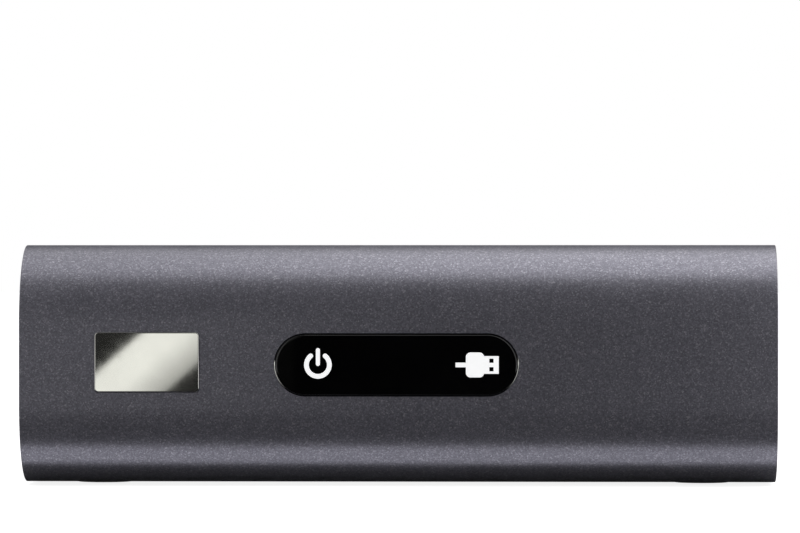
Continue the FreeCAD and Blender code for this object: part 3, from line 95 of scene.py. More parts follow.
class Finish:
    """A procedural material: one Principled shader and the textures that drive it, sized in millimetres."""

    def __init__(self, name, roughness=0.5, metallic=0.0, **fixed):
        self.material = bpy.data.materials.new(name)
        self.material.use_nodes = True
        self.tree = self.material.node_tree
        self.shader = self.tree.nodes["Principled BSDF"]
        self.shader.inputs["Roughness"].default_value = roughness
        self.shader.inputs["Metallic"].default_value = metallic
        for socket, value in fixed.items():
            self.shader.inputs[socket.replace("_", " ")].default_value = value
        self.place = self.add("ShaderNodeTexCoord").outputs["Object"]
        self.normal = None

    def add(self, kind, **inputs):
        made = self.tree.nodes.new(kind)
        for socket, value in inputs.items():
            self.plug(value, made.inputs[socket.replace("_", " ")])
        return made

    def plug(self, value, socket):
        if isinstance(value, bpy.types.NodeSocket):
            self.tree.links.new(value, socket)
        else:
            socket.default_value = value

    def noise(self, size, detail=2.0, stretch=(1, 1, 1), rough=0.5):
        """Cloudy noise whose largest blots are about so many millimetres."""
        place = self.add("ShaderNodeMapping", Vector=self.place, Scale=stretch).outputs[0]
        return self.add("ShaderNodeTexNoise", Vector=place, Scale=1 / (size * MM), Detail=detail,
                        Roughness=rough).outputs[0]

    def cells(self, size, stretch=(1, 1, 1)):
        """A random grey for each cell of about so many millimetres."""
        place = self.add("ShaderNodeMapping", Vector=self.place, Scale=stretch).outputs[0]
        made = self.add("ShaderNodeTexVoronoi", Vector=place, Scale=1 / (size * MM))
        return self.add("ShaderNodeSeparateColor", Color=made.outputs["Color"]).outputs[0]

    def lines(self, axis, pitch):
        """Bands across one axis, a pitch apart, from 0 to 1."""
        made = self.add("ShaderNodeTexWave", Vector=self.place, Scale=math.tau / (20 * pitch * MM))
        made.bands_direction = axis
        return made.outputs["Fac"]

    def bricks(self, width, height, gap):
        """1 in the gaps between staggered bricks, 0 inside them."""
        made = self.add("ShaderNodeTexBrick", Vector=self.place, Scale=1 / MM)
        for socket, value in (("Brick Width", width), ("Row Height", height), ("Mortar Size", gap),
                              ("Mortar Smooth", 0.1)):
            made.inputs[socket].default_value = value
        return made.outputs["Fac"]

    def mix(self, factor, first, second):
        """The second colour where the factor is 1."""
        made = self.tree.nodes.new("ShaderNodeMix")
        made.data_type = "RGBA"
        self.plug(factor, made.inputs[0])
        self.plug(first, made.inputs[6])
        self.plug(second, made.inputs[7])
        return made.outputs[2]

    def spread(self, factor, low, high, start=0.0, end=1.0):
        """The factor's range from start to end, turned into low to high."""
        made = self.add("ShaderNodeMapRange", Value=factor)
        for socket, value in zip(("From Min", "From Max", "To Min", "To Max"), (start, end, low, high)):
            made.inputs[socket].default_value = value
        return made.outputs[0]

    def sum(self, first, second, how="ADD"):
        made = self.add("ShaderNodeMath")
        made.operation = how
        self.plug(first, made.inputs[0])
        self.plug(second, made.inputs[1])
        return made.outputs[0]

    def ramp(self, factor, stops):
        """Colours at given places of the factor."""
        made = self.add("ShaderNodeValToRGB", Fac=factor)
        elements = made.color_ramp.elements
        while len(elements) < len(stops):
            elements.new(0.5)
        for element, (place, colour) in zip(elements, stops):
            element.position = place
            element.color = (*colour, 1)
        return made.outputs[0]

    def set(self, socket, value):
        self.plug(value, self.shader.inputs[socket])

    def bump(self, height, depth):
        """Relief of so many millimetres, on top of the relief given before."""
        made = self.add("ShaderNodeBump", Height=height, Strength=1.0, Distance=depth * MM)
        if self.normal is not None:
            self.plug(self.normal, made.inputs["Normal"])
        self.normal = made.outputs[0]
        self.set("Normal", self.normal)


def shade(colour, share):
    return tuple(min(1.0, part * share) for part in colour)


def mottled(name, colour, roughness, metallic=0.0, patch=4.0, change=0.12, grain=0.12, depth=0.004,
            stretch=(1, 1, 1), **fixed):
    """A finish whose colour and gloss drift a little, with a fine grain in its surface."""
    made = Finish(name, roughness, metallic, **fixed)
    drift = made.noise(patch, 3.0)
    made.set("Base Color", made.ramp(drift, [(0.3, shade(colour, 1 - change)),
                                             (0.7, shade(colour, 1 + change))]))
    made.set("Roughness", made.spread(made.noise(patch / 3, 3.0, stretch), roughness * 0.85, roughness * 1.15,
                                      0.3, 0.7))
    made.bump(made.noise(grain, 3.0, stretch), depth)
    return made


def paint_finish():
    """Dark grey metallic paint: fine bright flakes over a slightly uneven ground."""
    made = Finish("case_paint", 0.38, 0.65)
    flakes = made.cells(0.2)
    made.set("Base Color", made.ramp(flakes, [(0.0, (0.152, 0.149, 0.180)), (0.75, (0.228, 0.224, 0.262)),
                                              (0.93, (0.282, 0.277, 0.318)), (1.0, (0.375, 0.370, 0.415))]))
    made.set("Roughness", made.spread(made.noise(6.0, 2.0), 0.36, 0.40, 0.3, 0.7))
    made.bump(made.noise(0.2, 2.0), 0.002)
    return made


def board_finish():
    """Green lacquer over fine copper traces."""
    made = Finish("board_green", 0.35)
    ground = made.ramp(made.noise(5.0), [(0.3, (0.008, 0.060, 0.022)), (0.7, (0.014, 0.085, 0.034))])
    traces = made.sum(made.bricks(3.4, 0.62, 0.09), made.bricks(1.1, 7.5, 0.07), "MAXIMUM")
    made.set("Base Color", made.mix(traces, ground, (0.030, 0.150, 0.060, 1)))
    made.bump(traces, 0.03)
    return made


def ribbon_finish():
    """Pale flat cable with its conductors showing as stripes."""
    made = Finish("ribbon_pale", 0.4)
    stripes = made.sum(made.lines("X", 0.5), made.lines("Y", 0.5), "MULTIPLY")
    made.set("Base Color", made.ramp(stripes, [(0.1, (0.42, 0.40, 0.34)), (0.5, (0.74, 0.73, 0.68))]))
    made.bump(stripes, 0.03)
    return made


FINISHES = {
    "case_paint": paint_finish(),
    "case_plastic": mottled("case_plastic", (0.022, 0.022, 0.024), 0.45, grain=0.22, depth=0.012),
    "window_black": mottled("window_black", (0.0012, 0.0012, 0.0013), 0.04, patch=9, change=0.3, grain=3.0,
                            depth=0.0002),
    # The symbols' emission is a painted glow: they shine white with no lamp behind them.
    "symbol_white": mottled("symbol_white", (0.86, 0.87, 0.88), 0.35, patch=1.2, change=0.03,
                            Emission_Color=(1, 1, 1, 1), Emission_Strength=0.5),
    "badge_metal": mottled("badge_metal", (0.57, 0.57, 0.54), 0.045, 1.0, change=0.03, grain=0.5,
                           depth=0.0002),
    "foot_rubber": mottled("foot_rubber", (0.018, 0.018, 0.018), 0.8, grain=0.3, depth=0.02),
    "sheet_steel": mottled("sheet_steel", (0.56, 0.57, 0.57), 0.34, 1.0, patch=6, change=0.06, grain=0.3,
                           depth=0.0012, stretch=(0.25, 1, 1)),
    "socket_steel": mottled("socket_steel", (0.66, 0.65, 0.62), 0.24, 1.0, patch=2, grain=0.3, depth=0.002),
    "screw_steel": mottled("screw_steel", (0.50, 0.50, 0.49), 0.32, 1.0, patch=1, grain=0.2, depth=0.003),
    "board_green": board_finish(),
    "chip_black": mottled("chip_black", (0.020, 0.020, 0.022), 0.55, patch=2, grain=0.1, depth=0.004),
    "part_black": mottled("part_black", (0.016, 0.016, 0.017), 0.42, patch=3, grain=0.15, depth=0.005),
    "part_ivory": mottled("part_ivory", (0.62, 0.58, 0.46), 0.5, patch=2, change=0.05),
    "sink_metal": mottled("sink_metal", (0.60, 0.61, 0.62), 0.36, 1.0, patch=4, grain=0.2, depth=0.004,
                          stretch=(1, 0.2, 1)),
    "pad_grey": mottled("pad_grey", (0.33, 0.34, 0.36), 0.85, patch=2, grain=0.3, depth=0.02),
    "can_metal": mottled("can_metal", (0.60, 0.60, 0.60), 0.28, 1.0, patch=2, grain=0.2, depth=0.002),
    "coil_grey": mottled("coil_grey", (0.10, 0.10, 0.10), 0.7, patch=1.5, grain=0.15, depth=0.01),
    "led_clear": mottled("led_clear", (0.75, 0.78, 0.70), 0.25, patch=1, change=0.05),
    "insert_yellow": mottled("insert_yellow", (0.78, 0.50, 0.02), 0.38, patch=1.5, change=0.05),
    "insert_white": mottled("insert_white", (0.74, 0.74, 0.72), 0.38, patch=1.5, change=0.04),
    "insert_red": mottled("insert_red", (0.58, 0.02, 0.015), 0.38, patch=1.5, change=0.06),
    "brass_pin": mottled("brass_pin", (0.70, 0.52, 0.26), 0.25, 1.0, patch=1, grain=0.2, depth=0.002),
    "drive_casting": mottled("drive_casting", (0.10, 0.10, 0.105), 0.45, 0.6, patch=5, grain=0.25,
                             depth=0.008),
    "drive_cover": mottled("drive_cover", (0.56, 0.56, 0.57), 0.33, 1.0, patch=9, change=0.04, grain=0.3,
                           depth=0.0006, stretch=(0.15, 1, 1)),
}


# ---- Outlines and lofts, in millimetres ----

def rounded_box(width, height, corner, inset=0.0, steps=8):
    """Points round a rectangle with round corners, counter-clockwise, drawn in by the inset."""
    radius = max(corner - inset, 0.01)
    across, up = width / 2 - inset - radius, height / 2 - inset - radius
    points = []
    for turn, (side, rise) in enumerate(((1, 1), (-1, 1), (-1, -1), (1, -1))):
        for i in range(steps + 1):
            angle = math.radians(90 * (turn + i / steps))
            points.append((side * across + radius * math.cos(angle), rise * up + radius * math.sin(angle)))
    return points


def round_shape(radius, inset=0.0, steps=48):
    reach = max(radius - inset, 0.005)
    return [(reach * math.cos(math.tau * i / steps), reach * math.sin(math.tau * i / steps))
            for i in range(steps)]


def filleted(corners, steps=5):
    """A closed outline of (u, v, radius) corners, each turned into an arc of its radius."""
    points = []
    for i, (u, v, radius) in enumerate(corners):
        if not radius:
            points.append((u, v))
            continue
        spot = Vector((u, v))
        ways = [(Vector(corners[j % len(corners)][:2]) - spot).normalized() for j in (i - 1, i + 1)]
        half = ways[0].angle(ways[1]) / 2
        centre = spot + (ways[0] + ways[1]).normalized() * radius / math.sin(half)
        first, last = [math.atan2(*(spot + way * radius / math.tan(half) - centre).yx) for way in ways]
        sweep = (last - first + math.pi) % math.tau - math.pi
        points += [(centre.x + radius * math.cos(first + sweep * k / steps),
                    centre.y + radius * math.sin(first + sweep * k / steps)) for k in range(steps + 1)]
    return points


def lay(axis, centre, along, point):
    """Puts an outline's point in space: the outline's plane is square to the axis."""
    u, v = centre[0] + point[0], centre[1] + point[1]
    order = {"x": (along, u, v), "y": (u, along, v), "z": (u, v, along)}[axis]
    return Vector(order) * MM


def loft(bm, axis, centre, shape, stations):
    """Skins one outline through (place along the axis, inset) stations, closed at both ends."""
    rings = [[bm.verts.new(lay(axis, centre, along, p)) for p in shape(inset)] for along, inset in stations]
    count = len(rings[0])
    for low, high in zip(rings, rings[1:]):
        for i in range(count):
            j = (i + 1) % count
            bm.faces.new((low[i], low[j], high[j], high[i]))
    bm.faces.new(rings[0][::-1])
    bm.faces.new(rings[-1])
    bmesh.ops.remove_doubles(bm, verts=bm.verts, dist=1e-7)
    bmesh.ops.recalc_face_normals(bm, faces=bm.faces)


def rounding(face, way, radius, steps=5, drop=None):
    """Stations that round an edge: from the face, inset by the radius, to the full outline one drop behind.

    Without a drop of its own, the rounding is as deep as it is wide."""
    quarter = [math.radians(90 * i / steps) for i in range(steps + 1)]
    return [(face + way * (drop or radius) * (1 - math.cos(a)), radius * (1 - math.sin(a))) for a in quarter]


def solid(axis, centre, shape, stations):
    bm = bmesh.new()
    loft(bm, axis, centre, shape, stations)
    return bm


def prism(axis, centre, outline, low, high):
    return solid(axis, centre, lambda inset: outline, [(low, 0), (high, 0)])


def block(low, high):
    """A square-edged block between two corners."""
    bm = bmesh.new()
    bmesh.ops.create_cube(bm, size=1)
    for vert in bm.verts:
        vert.co = Vector([(high[k] if vert.co[k] > 0 else low[k]) * MM for k in range(3)])
    return bm


def turned(axis, centre, profile, steps=48):
    """Revolves a closed (along, radius) profile about a line along the axis."""
    bm = bmesh.new()
    rings = []
    for along, radius in profile:
        spots = [lay(axis, centre, along, spot) for spot in round_shape(radius, 0, steps)]
        rings.append([bm.verts.new(spot) for spot in spots] if radius else [bm.verts.new(lay(
            axis, centre, along, (0, 0)))] * steps)
    for low, high in zip(rings, rings[1:] + rings[:1]):
        for i in range(steps):
            j = (i + 1) % steps
            corners = list(dict.fromkeys((low[i], low[j], high[j], high[i])))
            if len(corners) > 2:
                bm.faces.new(corners)
    bmesh.ops.recalc_face_normals(bm, faces=bm.faces)
    return bm


# ---- Pieces ----

def plain_object(name, bm):
    mesh = bpy.data.meshes.new(name)
    bm.to_mesh(mesh)
    bm.free()
    made = bpy.data.objects.new(name, mesh)
    SCENE.collection.objects.link(made)
    return made


def settle(made):
    """Applies the object's modifiers to its mesh."""
    bpy.context.view_layer.update()
    graph = bpy.context.evaluated_depsgraph_get()
    mesh = bpy.data.meshes.new_from_object(made.evaluated_get(graph))
    made.modifiers.clear()
    old, made.data = made.data, mesh
    bpy.data.meshes.remove(old)


def carve(made, tools, how="DIFFERENCE", overlapping=False):
    """Cuts tool shapes away from the object, or adds them to it. Overlapping tools meet each other."""
    cutter = plain_object("cutter", joined(tools))
    change = made.modifiers.new("cut", "BOOLEAN")
    change.operation = how
    change.solver = "EXACT"
    change.use_self = overlapping
    change.object = cutter
    settle(made)
    mesh = cutter.data
    bpy.data.objects.remove(cutter)
    bpy.data.meshes.remove(mesh)


def joined(shapes):
    """One bmesh out of many."""
    whole = bmesh.new()
    for shape in shapes:
        mesh = bpy.data.meshes.new("part")
        shape.to_mesh(mesh)
        shape.free()
        whole.from_mesh(mesh)
        bpy.data.meshes.remove(mesh)
    return whole


def dress(made, body, slot, replaced=(), sharp=32):
    """Gives a piece its finish, its body and its place in the part."""
    mesh = made.data
    mesh.materials.clear()
    mesh.materials.append(FINISHES[slot].material)
    mesh.polygons.foreach_set("use_smooth", [True] * len(mesh.polygons))
    mesh.set_sharp_from_angle(angle=math.radians(sharp))
    even = made.modifiers.new("even", "WEIGHTED_NORMAL")
    even.weight = 100
    even.keep_sharp = True
    settle(made)
    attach(made, body)
    if replaced:
        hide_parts(*replaced)
    return made


def piece(name, bm, body, slot, replaced=(), sharp=32):
    return dress(plain_object(name, bm), body, slot, replaced, sharp)


def ease(made, width):
    """Rounds the object's sharp edges."""
    bevel = made.modifiers.new("edges", "BEVEL")
    bevel.width = width * MM
    bevel.segments = 2
    bevel.limit_method = "ANGLE"
    bevel.angle_limit = math.radians(40)
    settle(made)


def copied(node):
    """A node's own shape, with its flat faces whole again."""
    bm = bmesh.new()
    bm.from_mesh(CAD[node].data)
    bmesh.ops.remove_doubles(bm, verts=bm.verts, dist=1e-6)
    bmesh.ops.dissolve_limit(bm, angle_limit=math.radians(0.4), verts=bm.verts, edges=bm.edges)
    return bm


def softened(node, width):
    """A copy of a hard piece with its sharp edges rounded."""
    made = plain_object("soft_" + node, copied(node))
    ease(made, width)
    return dress(made, BODY_OF[node], SLOT_OF[node], (node,))


# ---- What the frame says about a node ----

SLOT_OF = {row["node"]: row["material_slot"] for row in frame["record"]["subparts"]}
BODY_OF = {node: made["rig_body"] for node, made in CAD.items()}


def span(node):
    """Lowest and highest corner of a node, in millimetres."""
    return [Vector(corner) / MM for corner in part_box(node)]


def middle_of(node):
    low, high = span(node)
    return (low + high) / 2


def solids_of(node):
    """Lowest and highest corner of each separate solid in a node, in millimetres."""
    bm = copied(node)
    left = set(bm.verts)
    found = []
    while left:
        open_ends = [left.pop()]
        low = high = open_ends[0].co
        while open_ends:
            vert = open_ends.pop()
            low = Vector(map(min, low, vert.co))
            high = Vector(map(max, high, vert.co))
            others = {edge.other_vert(vert) for edge in vert.link_edges} & left
            left -= others
            open_ends += others
        found.append((low / MM, high / MM))
    bm.free()
    return sorted(found, key=lambda corners: [round(part, 2) for part in corners[0]])


# ---- Sleeve ----

NOSE = 12.8
WALL = 1.8
END, DEEP, HIGH = span("sleeve")[1]
LOW = span("sleeve")[0].z
MIDDLE = (LOW + HIGH) / 2
# The opening is a little smaller than the window_lens node's, and further left, to leave room for its rim.
WINDOW = (40.04, 10.1)
WINDOW_AT = (-0.2, MIDDLE)
BADGE = (17.3, 9.9)
BADGE_CORNER = 0.6
LONG_EDGE = 0.12
REAR_EDGE = 0.15
RIM_SEAT = 0.15
RIM_OUTSIDE, RIM_INSIDE = -0.16, 0.02
BADGE_GAP = 0.1
BADGE_PROUD = 0.2
LENS_GAP = 0.12
LENS_PROUD = 0.19
FLANGE_MARGIN = 1.5
BASE_SLOTS, SLOT_PITCH, SLOT_SIZE = 11, 4.2, (1.4, 26)
FEET = [tuple((low + high).xy / 2) for low, high in solids_of("feet")]


def sleeve_path():
    """(y, z) and outward normal along the outer profile, from the rear of the base to the rear of the top."""
    path = [((DEEP, LOW), (0, -1), REAR_EDGE), ((DEEP - REAR_EDGE, LOW), (0, -1), 0.0)]
    steps = 40
    for centre_z, start in ((LOW + NOSE, 270), (HIGH - NOSE, 180)):
        for i in range(steps + 1):
            angle = math.radians(start - 90 * i / steps)
            normal = (math.cos(angle), math.sin(angle))
            spot = (NOSE - DEEP + NOSE * normal[0], centre_z + NOSE * normal[1])
            path.append((spot, normal, 0.0))
    path += [((DEEP - REAR_EDGE, HIGH), (0, 1), 0.0), ((DEEP, HIGH), (0, 1), REAR_EDGE)]
    return path


def wall_section(inset):
    """(x, depth under the skin) round the wall, its long edges rounded."""
    points = []
    for (x, depth), start in (((-END, 0), 180), ((END, 0), 90), ((END, WALL), 0), ((-END, WALL), 270)):
        side, drop = (1 if x > 0 else -1), (1 if depth else -1)
        cx, cd = x - side * LONG_EDGE, depth - drop * LONG_EDGE
        reach = LONG_EDGE - inset
        for i in range(9):
            angle = math.radians(start - 90 * i / 8)
            points.append((cx + reach * math.cos(angle), cd - reach * math.sin(angle)))
    return points


def make_sleeve():
    bm = bmesh.new()
    rings = []
    for (y, z), (ny, nz), inset in sleeve_path():
        rings.append([bm.verts.new(Vector((x, y - ny * depth, z - nz * depth)) * MM)
                      for x, depth in wall_section(inset)])
    count = len(rings[0])
    for low, high in zip(rings, rings[1:]):
        for i in range(count):
            j = (i + 1) % count
            bm.faces.new((low[i], low[j], high[j], high[i]))
    bm.faces.new(rings[0][::-1])
    bm.faces.new(rings[-1])
    bmesh.ops.recalc_face_normals(bm, faces=bm.faces)
    made = plain_object("case_sleeve", bm)
    badge = middle_of("badge_plate")
    tools = [
        solid("y", WINDOW_AT, lambda i: rounded_box(*WINDOW, WINDOW[1] / 2, i, 24),
              [(-DEEP - 0.6, -RIM_SEAT), (-DEEP + 0.3, -RIM_SEAT), (-DEEP + 0.31, 0),
               (-DEEP + WALL + 0.7, 0)]),
        solid("y", (badge.x, badge.z), lambda i: rounded_box(*BADGE, BADGE_CORNER, i),
              [(-DEEP - 0.6, -0.08), (-DEEP, -0.08), (-DEEP + 0.08, 0), (-DEEP + 0.4, 0)]),
    ]
    for i in range(BASE_SLOTS):
        tools.append(solid("z", (-21 + SLOT_PITCH * i, 0), lambda i: rounded_box(*SLOT_SIZE, 0.5, i, 4),
                           [(0.2, -0.15), (0.5, -0.15), (0.65, 0), (2.6, 0)]))
    for x, y in FEET:
        tools.append(solid("z", (x, y), lambda i: round_shape(5.0, i),
                           [(0.2, -0.1), (0.5, -0.1), (0.6, 0), (1.1, 0)]))
    carve(made, tools)
    carve(made, [solid("z", at, lambda i: round_shape(1.95, i, 24),
                       [(0.9, 0), (1.1, 0), (2.05, 0.95), (2.6, 0.95)]) for at in FEET])
    dress(made, "player", "case_paint", ("sleeve",))


def window_outline(inset):
    """The window's opening: a slot with half-round ends."""
    return rounded_box(*WINDOW, WINDOW[1] / 2, inset, 28)


def make_window():
    """A proud glossy lens, its flange behind the wall, and a polished rim let into the opening's edge."""
    back = DEEP - WALL
    lens = solid("y", WINDOW_AT, lambda i: window_outline(i + LENS_GAP),
                 rounding(-DEEP - LENS_PROUD, 1, 0.3, 8, LENS_PROUD) + [(-back, 0)])
    flange = solid("y", WINDOW_AT, lambda i: window_outline(i - FLANGE_MARGIN),
                   [(-back, 0.1), (-back + 0.1, 0), (-back + 1, 0)])
    piece("window", joined([lens, flange]), "player", "window_black", ("window_lens",), 50)
    rim = plain_object("window_rim", solid("y", WINDOW_AT, window_outline,
                                           [(-DEEP - 0.03, RIM_OUTSIDE), (-DEEP + 0.28, RIM_OUTSIDE)]))
    # Its inner side slopes in to just inside the opening's outline, then runs straight back.
    carve(rim, [solid("y", WINDOW_AT, window_outline,
                      [(-DEEP - 0.13, -0.349), (-DEEP + 0.065, RIM_INSIDE), (-DEEP + 0.4, RIM_INSIDE)])])
    dress(rim, "player", "badge_metal")


def make_badge():
    """A thin polished plate with rounded edges."""
    centre = middle_of("badge_plate")
    bm = solid("y", (centre.x, centre.z),
               lambda i: rounded_box(BADGE[0] - BADGE_GAP, BADGE[1] - BADGE_GAP, BADGE_CORNER, i, 10),
               rounding(-DEEP - BADGE_PROUD, 1, 0.14, 6, 0.1) + [(-DEEP + 0.4, 0)])
    piece("badge", bm, "player", "badge_metal", ("badge_plate",), 60)


def make_feet():
    """Rubber pads with a round edge and a hollow in the face."""
    pads = []
    for at in FEET:
        pads.append(solid("z", at, lambda i: round_shape(4.8, i, 56),
                          [(0.25, 1.5), (0.25, 1.1), (0.0, 0.85)] + rounding(0.0, 1, 0.35) + [(1.1, 0)]))
    piece("foot_pads", joined(pads), "player", "foot_rubber", ("feet",))


make_sleeve()
make_window()
make_badge()
make_feet()


# ---- Screws ----

def threaded(radius, start, length):
    """Profile of a shank with shallow thread ridges, down from its head."""
    points, pitch = [], 0.4
    for i in range(int((length - start) / pitch) - 1):
        top = -start - i * pitch
        points += [(top, radius), (top - 0.5 * pitch, radius), (top - 0.75 * pitch, radius - 0.14)]
    return points + [(-length + 0.3, radius), (-length, radius - 0.3), (-length, 0)]


def screw(head_radius, radius, length, rise):
    """A cross-recessed screw along Z, its seat at 0: domed if it rises, countersunk if it doesn't."""
    if rise:
        dome = [math.radians(9 * i) for i in range(1, 10)]
        profile = [(rise, 0)]
        profile += [(rise * (0.35 + 0.65 * math.cos(a)), head_radius * math.sin(a)) for a in dome]
        profile += [(0, head_radius), (0, radius)]
        start = 0.1
    else:
        start = head_radius - radius
        profile = [(0, 0), (0, head_radius - 0.12), (-0.08, head_radius - 0.04), (-start, radius)]
    made = plain_object("screw", turned("z", (0, 0), profile + threaded(radius, start, length), 32))
    arms = [(0.62 * head_radius, 0.16 * head_radius), (0.16 * head_radius, 0.62 * head_radius)]
    depth = 0.75 * head_radius
    carve(made, [solid("z", (0, 0), lambda i, arm=arm: rounded_box(2 * arm[0], 2 * arm[1], 0.05, i, 2),
                       [(rise + 0.1, -0.03), (rise, 0), (rise - depth, 0.22)]) for arm in arms],
          overlapping=True)
    bm = bmesh.new()
    bm.from_mesh(made.data)
    bpy.data.objects.remove(made)
    return bm


def make_screws(node, head_radius, radius, rise, headings):
    """Puts the node's screws in place; headings gives the way each screw's head looks."""
    shapes = []
    for i, (low, high) in enumerate(solids_of(node)):
        size, centre = high - low, (low + high) / 2
        heading = Vector(headings(centre))
        axis = max(range(3), key=lambda k: abs(heading[k]))
        length = size[axis] - rise
        bm = screw(head_radius, radius, length, rise)
        seat = centre + heading * (size[axis] / 2 - rise)
        turn = heading.to_track_quat("Z", "Y").to_matrix().to_4x4()
        spin = Matrix.Rotation(math.radians(37 * i), 4, "Z")
        bm.transform(Matrix.Translation(seat * MM) @ turn @ spin)
        shapes.append(bm)
    piece("cross_" + node, joined(shapes), BODY_OF[node], SLOT_OF[node], (node,))


def case_heading(centre):
    """The way out of the case for a countersunk screw in its base, an end or the rear."""
    if abs(centre.x) > END - 5:
        return (math.copysign(1, centre.x), 0, 0)
    return (0, 1, 0) if centre.y > DEEP - 8 else (0, 0, -1)


def pan_heading(centre):
    """Left for the two screws that hold the dock board, up for the others."""
    in_dock_board = centre.x < -50 and 20 < abs(centre.y) < 26 and centre.z > 25
    return (-1, 0, 0) if in_dock_board else (0, 0, 1)


make_screws("countersunk_screws", 1.9, 0.95, 0, case_heading)
make_screws("drive_screws", 2.6, 1.5, 0, lambda centre: (0, 0, -1))
make_screws("pan_screws", 1.7, 0.95, 0.8, pan_heading)
make_screws("front_screws", 1.7, 0.95, 0.8, lambda centre: (0, 1, 0))


# ---- Sockets ----

def make_av_sockets():
    """Metal rims round coloured inserts, with a sprung contact down each bore."""
    rims, contacts = [], []
    for low, high in solids_of("av_shells"):
        centre = ((low.x + high.x) / 2, (low.z + high.z) / 2)
        outer, inner = (high.x - low.x) / 2, (high.x - low.x) / 2 - 0.5
        rims.append(turned("y", centre, filleted([(low.y, outer, 0), (high.y, outer, 0.22),
                                                  (high.y, inner, 0.22), (low.y, inner, 0)]), 64))
        contacts.append(turned("y", centre, filleted([(high.y - 8, 1.58, 0), (high.y - 0.9, 1.58, 0.05),
                                                      (high.y - 0.9, 1.3, 0.12), (high.y - 8, 1.3, 0)]), 32))
    piece("av_rims", joined(rims), "player", "socket_steel", ("av_shells",))
    piece("av_contacts", joined(contacts), "player", "socket_steel")
    for colour in ("yellow", "white", "red"):
        node = "av_insert_" + colour
        low, high = span(node)
        profile = [(low.y, 3.58, 0), (high.y, 3.58, 0.4), (high.y, 2.5, 0.15), (high.y - 0.35, 2.2, 0.2),
                   (high.y - 0.35, 1.6, 0.2), (high.y - 8, 1.6, 0), (high.y - 8, 0, 0), (low.y, 0, 0)]
        centre = middle_of(node)
        piece("insert_" + colour, turned("y", (centre.x, centre.z), filleted(profile), 64), "player",
              node[3:], (node,))


def make_shell(name, node, axis, outline, wall):
    """A drawn metal shell closed at its back, open at its outward end."""
    low, high = span(node)
    k = "xyz".index(axis)
    way = 1 if low[k] + high[k] > 0 else -1
    mouth, back = (high[k], low[k]) if way > 0 else (low[k], high[k])
    centre = [part for i, part in enumerate((low + high) / 2) if i != k]
    made = plain_object(name, solid(axis, centre, outline, [(back, 0.3), (back + way * 0.3, 0),
                                                           (mouth - way * 0.12, 0), (mouth, 0.1)]))
    carve(made, [solid(axis, centre, outline, [(back + way * wall, wall), (mouth - way * 0.12, wall),
                                              (mouth, wall - 0.1), (mouth + way, wall - 0.1)])])
    dress(made, BODY_OF[node], SLOT_OF[node], (node,))


def video_outline(inset):
    """A wide slot whose lower corners lean in."""
    wide, lean, tall = 7.5 - inset, 5.9 - inset, 2.8 - inset
    return filleted([(-wide, tall, 0.5), (-wide, -0.7, 0.5), (-lean, -tall, 0.6), (lean, -tall, 0.6),
                     (wide, -0.7, 0.5), (wide, tall, 0.5)], 6)


def data_outline(inset):
    return rounded_box(13.1, 5.7, 0.7, inset, 6)


def contact_strips(name, count, pitch, width, low, high, along):
    """Gilt strips side by side along one axis, each between the given corners about its middle."""
    strips = []
    for i in range(count):
        shift = (i - (count - 1) / 2) * pitch
        corners = [list(low), list(high)]
        corners[0][along] += shift - width / 2
        corners[1][along] += shift + width / 2
        strips.append(block(*corners))
    made = plain_object(name, joined(strips))
    ease(made, 0.03)
    dress(made, "player", "brass_pin")


def make_data_sockets():
    make_shell("video_shell", "video_socket", "y", video_outline, 0.4)
    make_shell("rear_data_shell", "rear_data_socket", "y", data_outline, 0.35)
    make_shell("side_data_shell", "side_data_socket", "x", data_outline, 0.35)
    low, high = span("video_socket_tongue")
    x = (low.x + high.x) / 2
    for name, face, count in (("video_contacts_top", high.z, 10), ("video_contacts_base", low.z, 9)):
        contact_strips(name, count, 1.0, 0.45, (x, high.y - 6.5, face - 0.04),
                       (x, high.y - 0.3, face + 0.04), 0)
    low, high = span("rear_data_socket_tongue")
    x = (low.x + high.x) / 2
    contact_strips("rear_data_contacts", 4, 2.3, 1.0, (x, high.y - 7, low.z - 0.05),
                   (x, high.y - 0.4, low.z + 0.05), 0)
    low, high = span("side_data_socket_tongue")
    y = (low.y + high.y) / 2
    contact_strips("side_data_contacts", 4, 2.3, 1.0, (low.x + 0.4, y, low.z - 0.05),
                   (low.x + 7, y, low.z + 0.05), 1)


def make_power_pin():
    low, high = span("power_jack_pin")
    centre = ((low.x + high.x) / 2, (low.z + high.z) / 2)
    profile = filleted([(low.y, 0, 0), (low.y, 1, 0), (high.y, 1, 0.5), (high.y, 0, 0)])
    piece("jack_pin", turned("y", centre, profile, 32), "player", "brass_pin", ("power_jack_pin",))


def make_shutter():
    """The optical socket's flap: round corners, a shallow panel in its face, a barrel and pins."""
    low, high = span("optical_shutter")
    radius = (high.y - low.y) / 2
    x, y, z = (low.x + high.x) / 2, (low.y + high.y) / 2, high.z - radius
    wide, thick, pin, top = 7.6, radius, 0.4, z + 0.15
    middle = (low.z + top) / 2
    made = plain_object("shutter_flap", solid(
        "y", (x, middle), lambda i: rounded_box(wide, top - low.z, 0.5, i, 6),
        rounding(y - thick / 2, 1, 0.1) + rounding(y + thick / 2, -1, 0.1)[::-1]))
    barrel, ends = wide / 2 - 0.07, (high.x - low.x) / 2
    carve(made, [turned("x", (y, z), filleted([
        (x - ends, 0, 0), (x - ends, pin, 0.1), (x - barrel, pin, 0), (x - barrel, radius, 0.1),
        (x + barrel, radius, 0.1), (x + barrel, pin, 0), (x + ends, pin, 0.1), (x + ends, 0, 0)]), 32)],
        "UNION")
    carve(made, [solid("y", (x, z - 3.75), lambda i: rounded_box(5.4, 4.6, 0.5, i, 6),
                       [(y + thick / 2 - 0.12, 0.1), (y + thick / 2 + 0.1, 0)])])
    dress(made, BODY_OF["optical_shutter"], SLOT_OF["optical_shutter"], ("optical_shutter",))


make_av_sockets()
make_data_sockets()
make_power_pin()
make_shutter()


# ---- Tray front ----

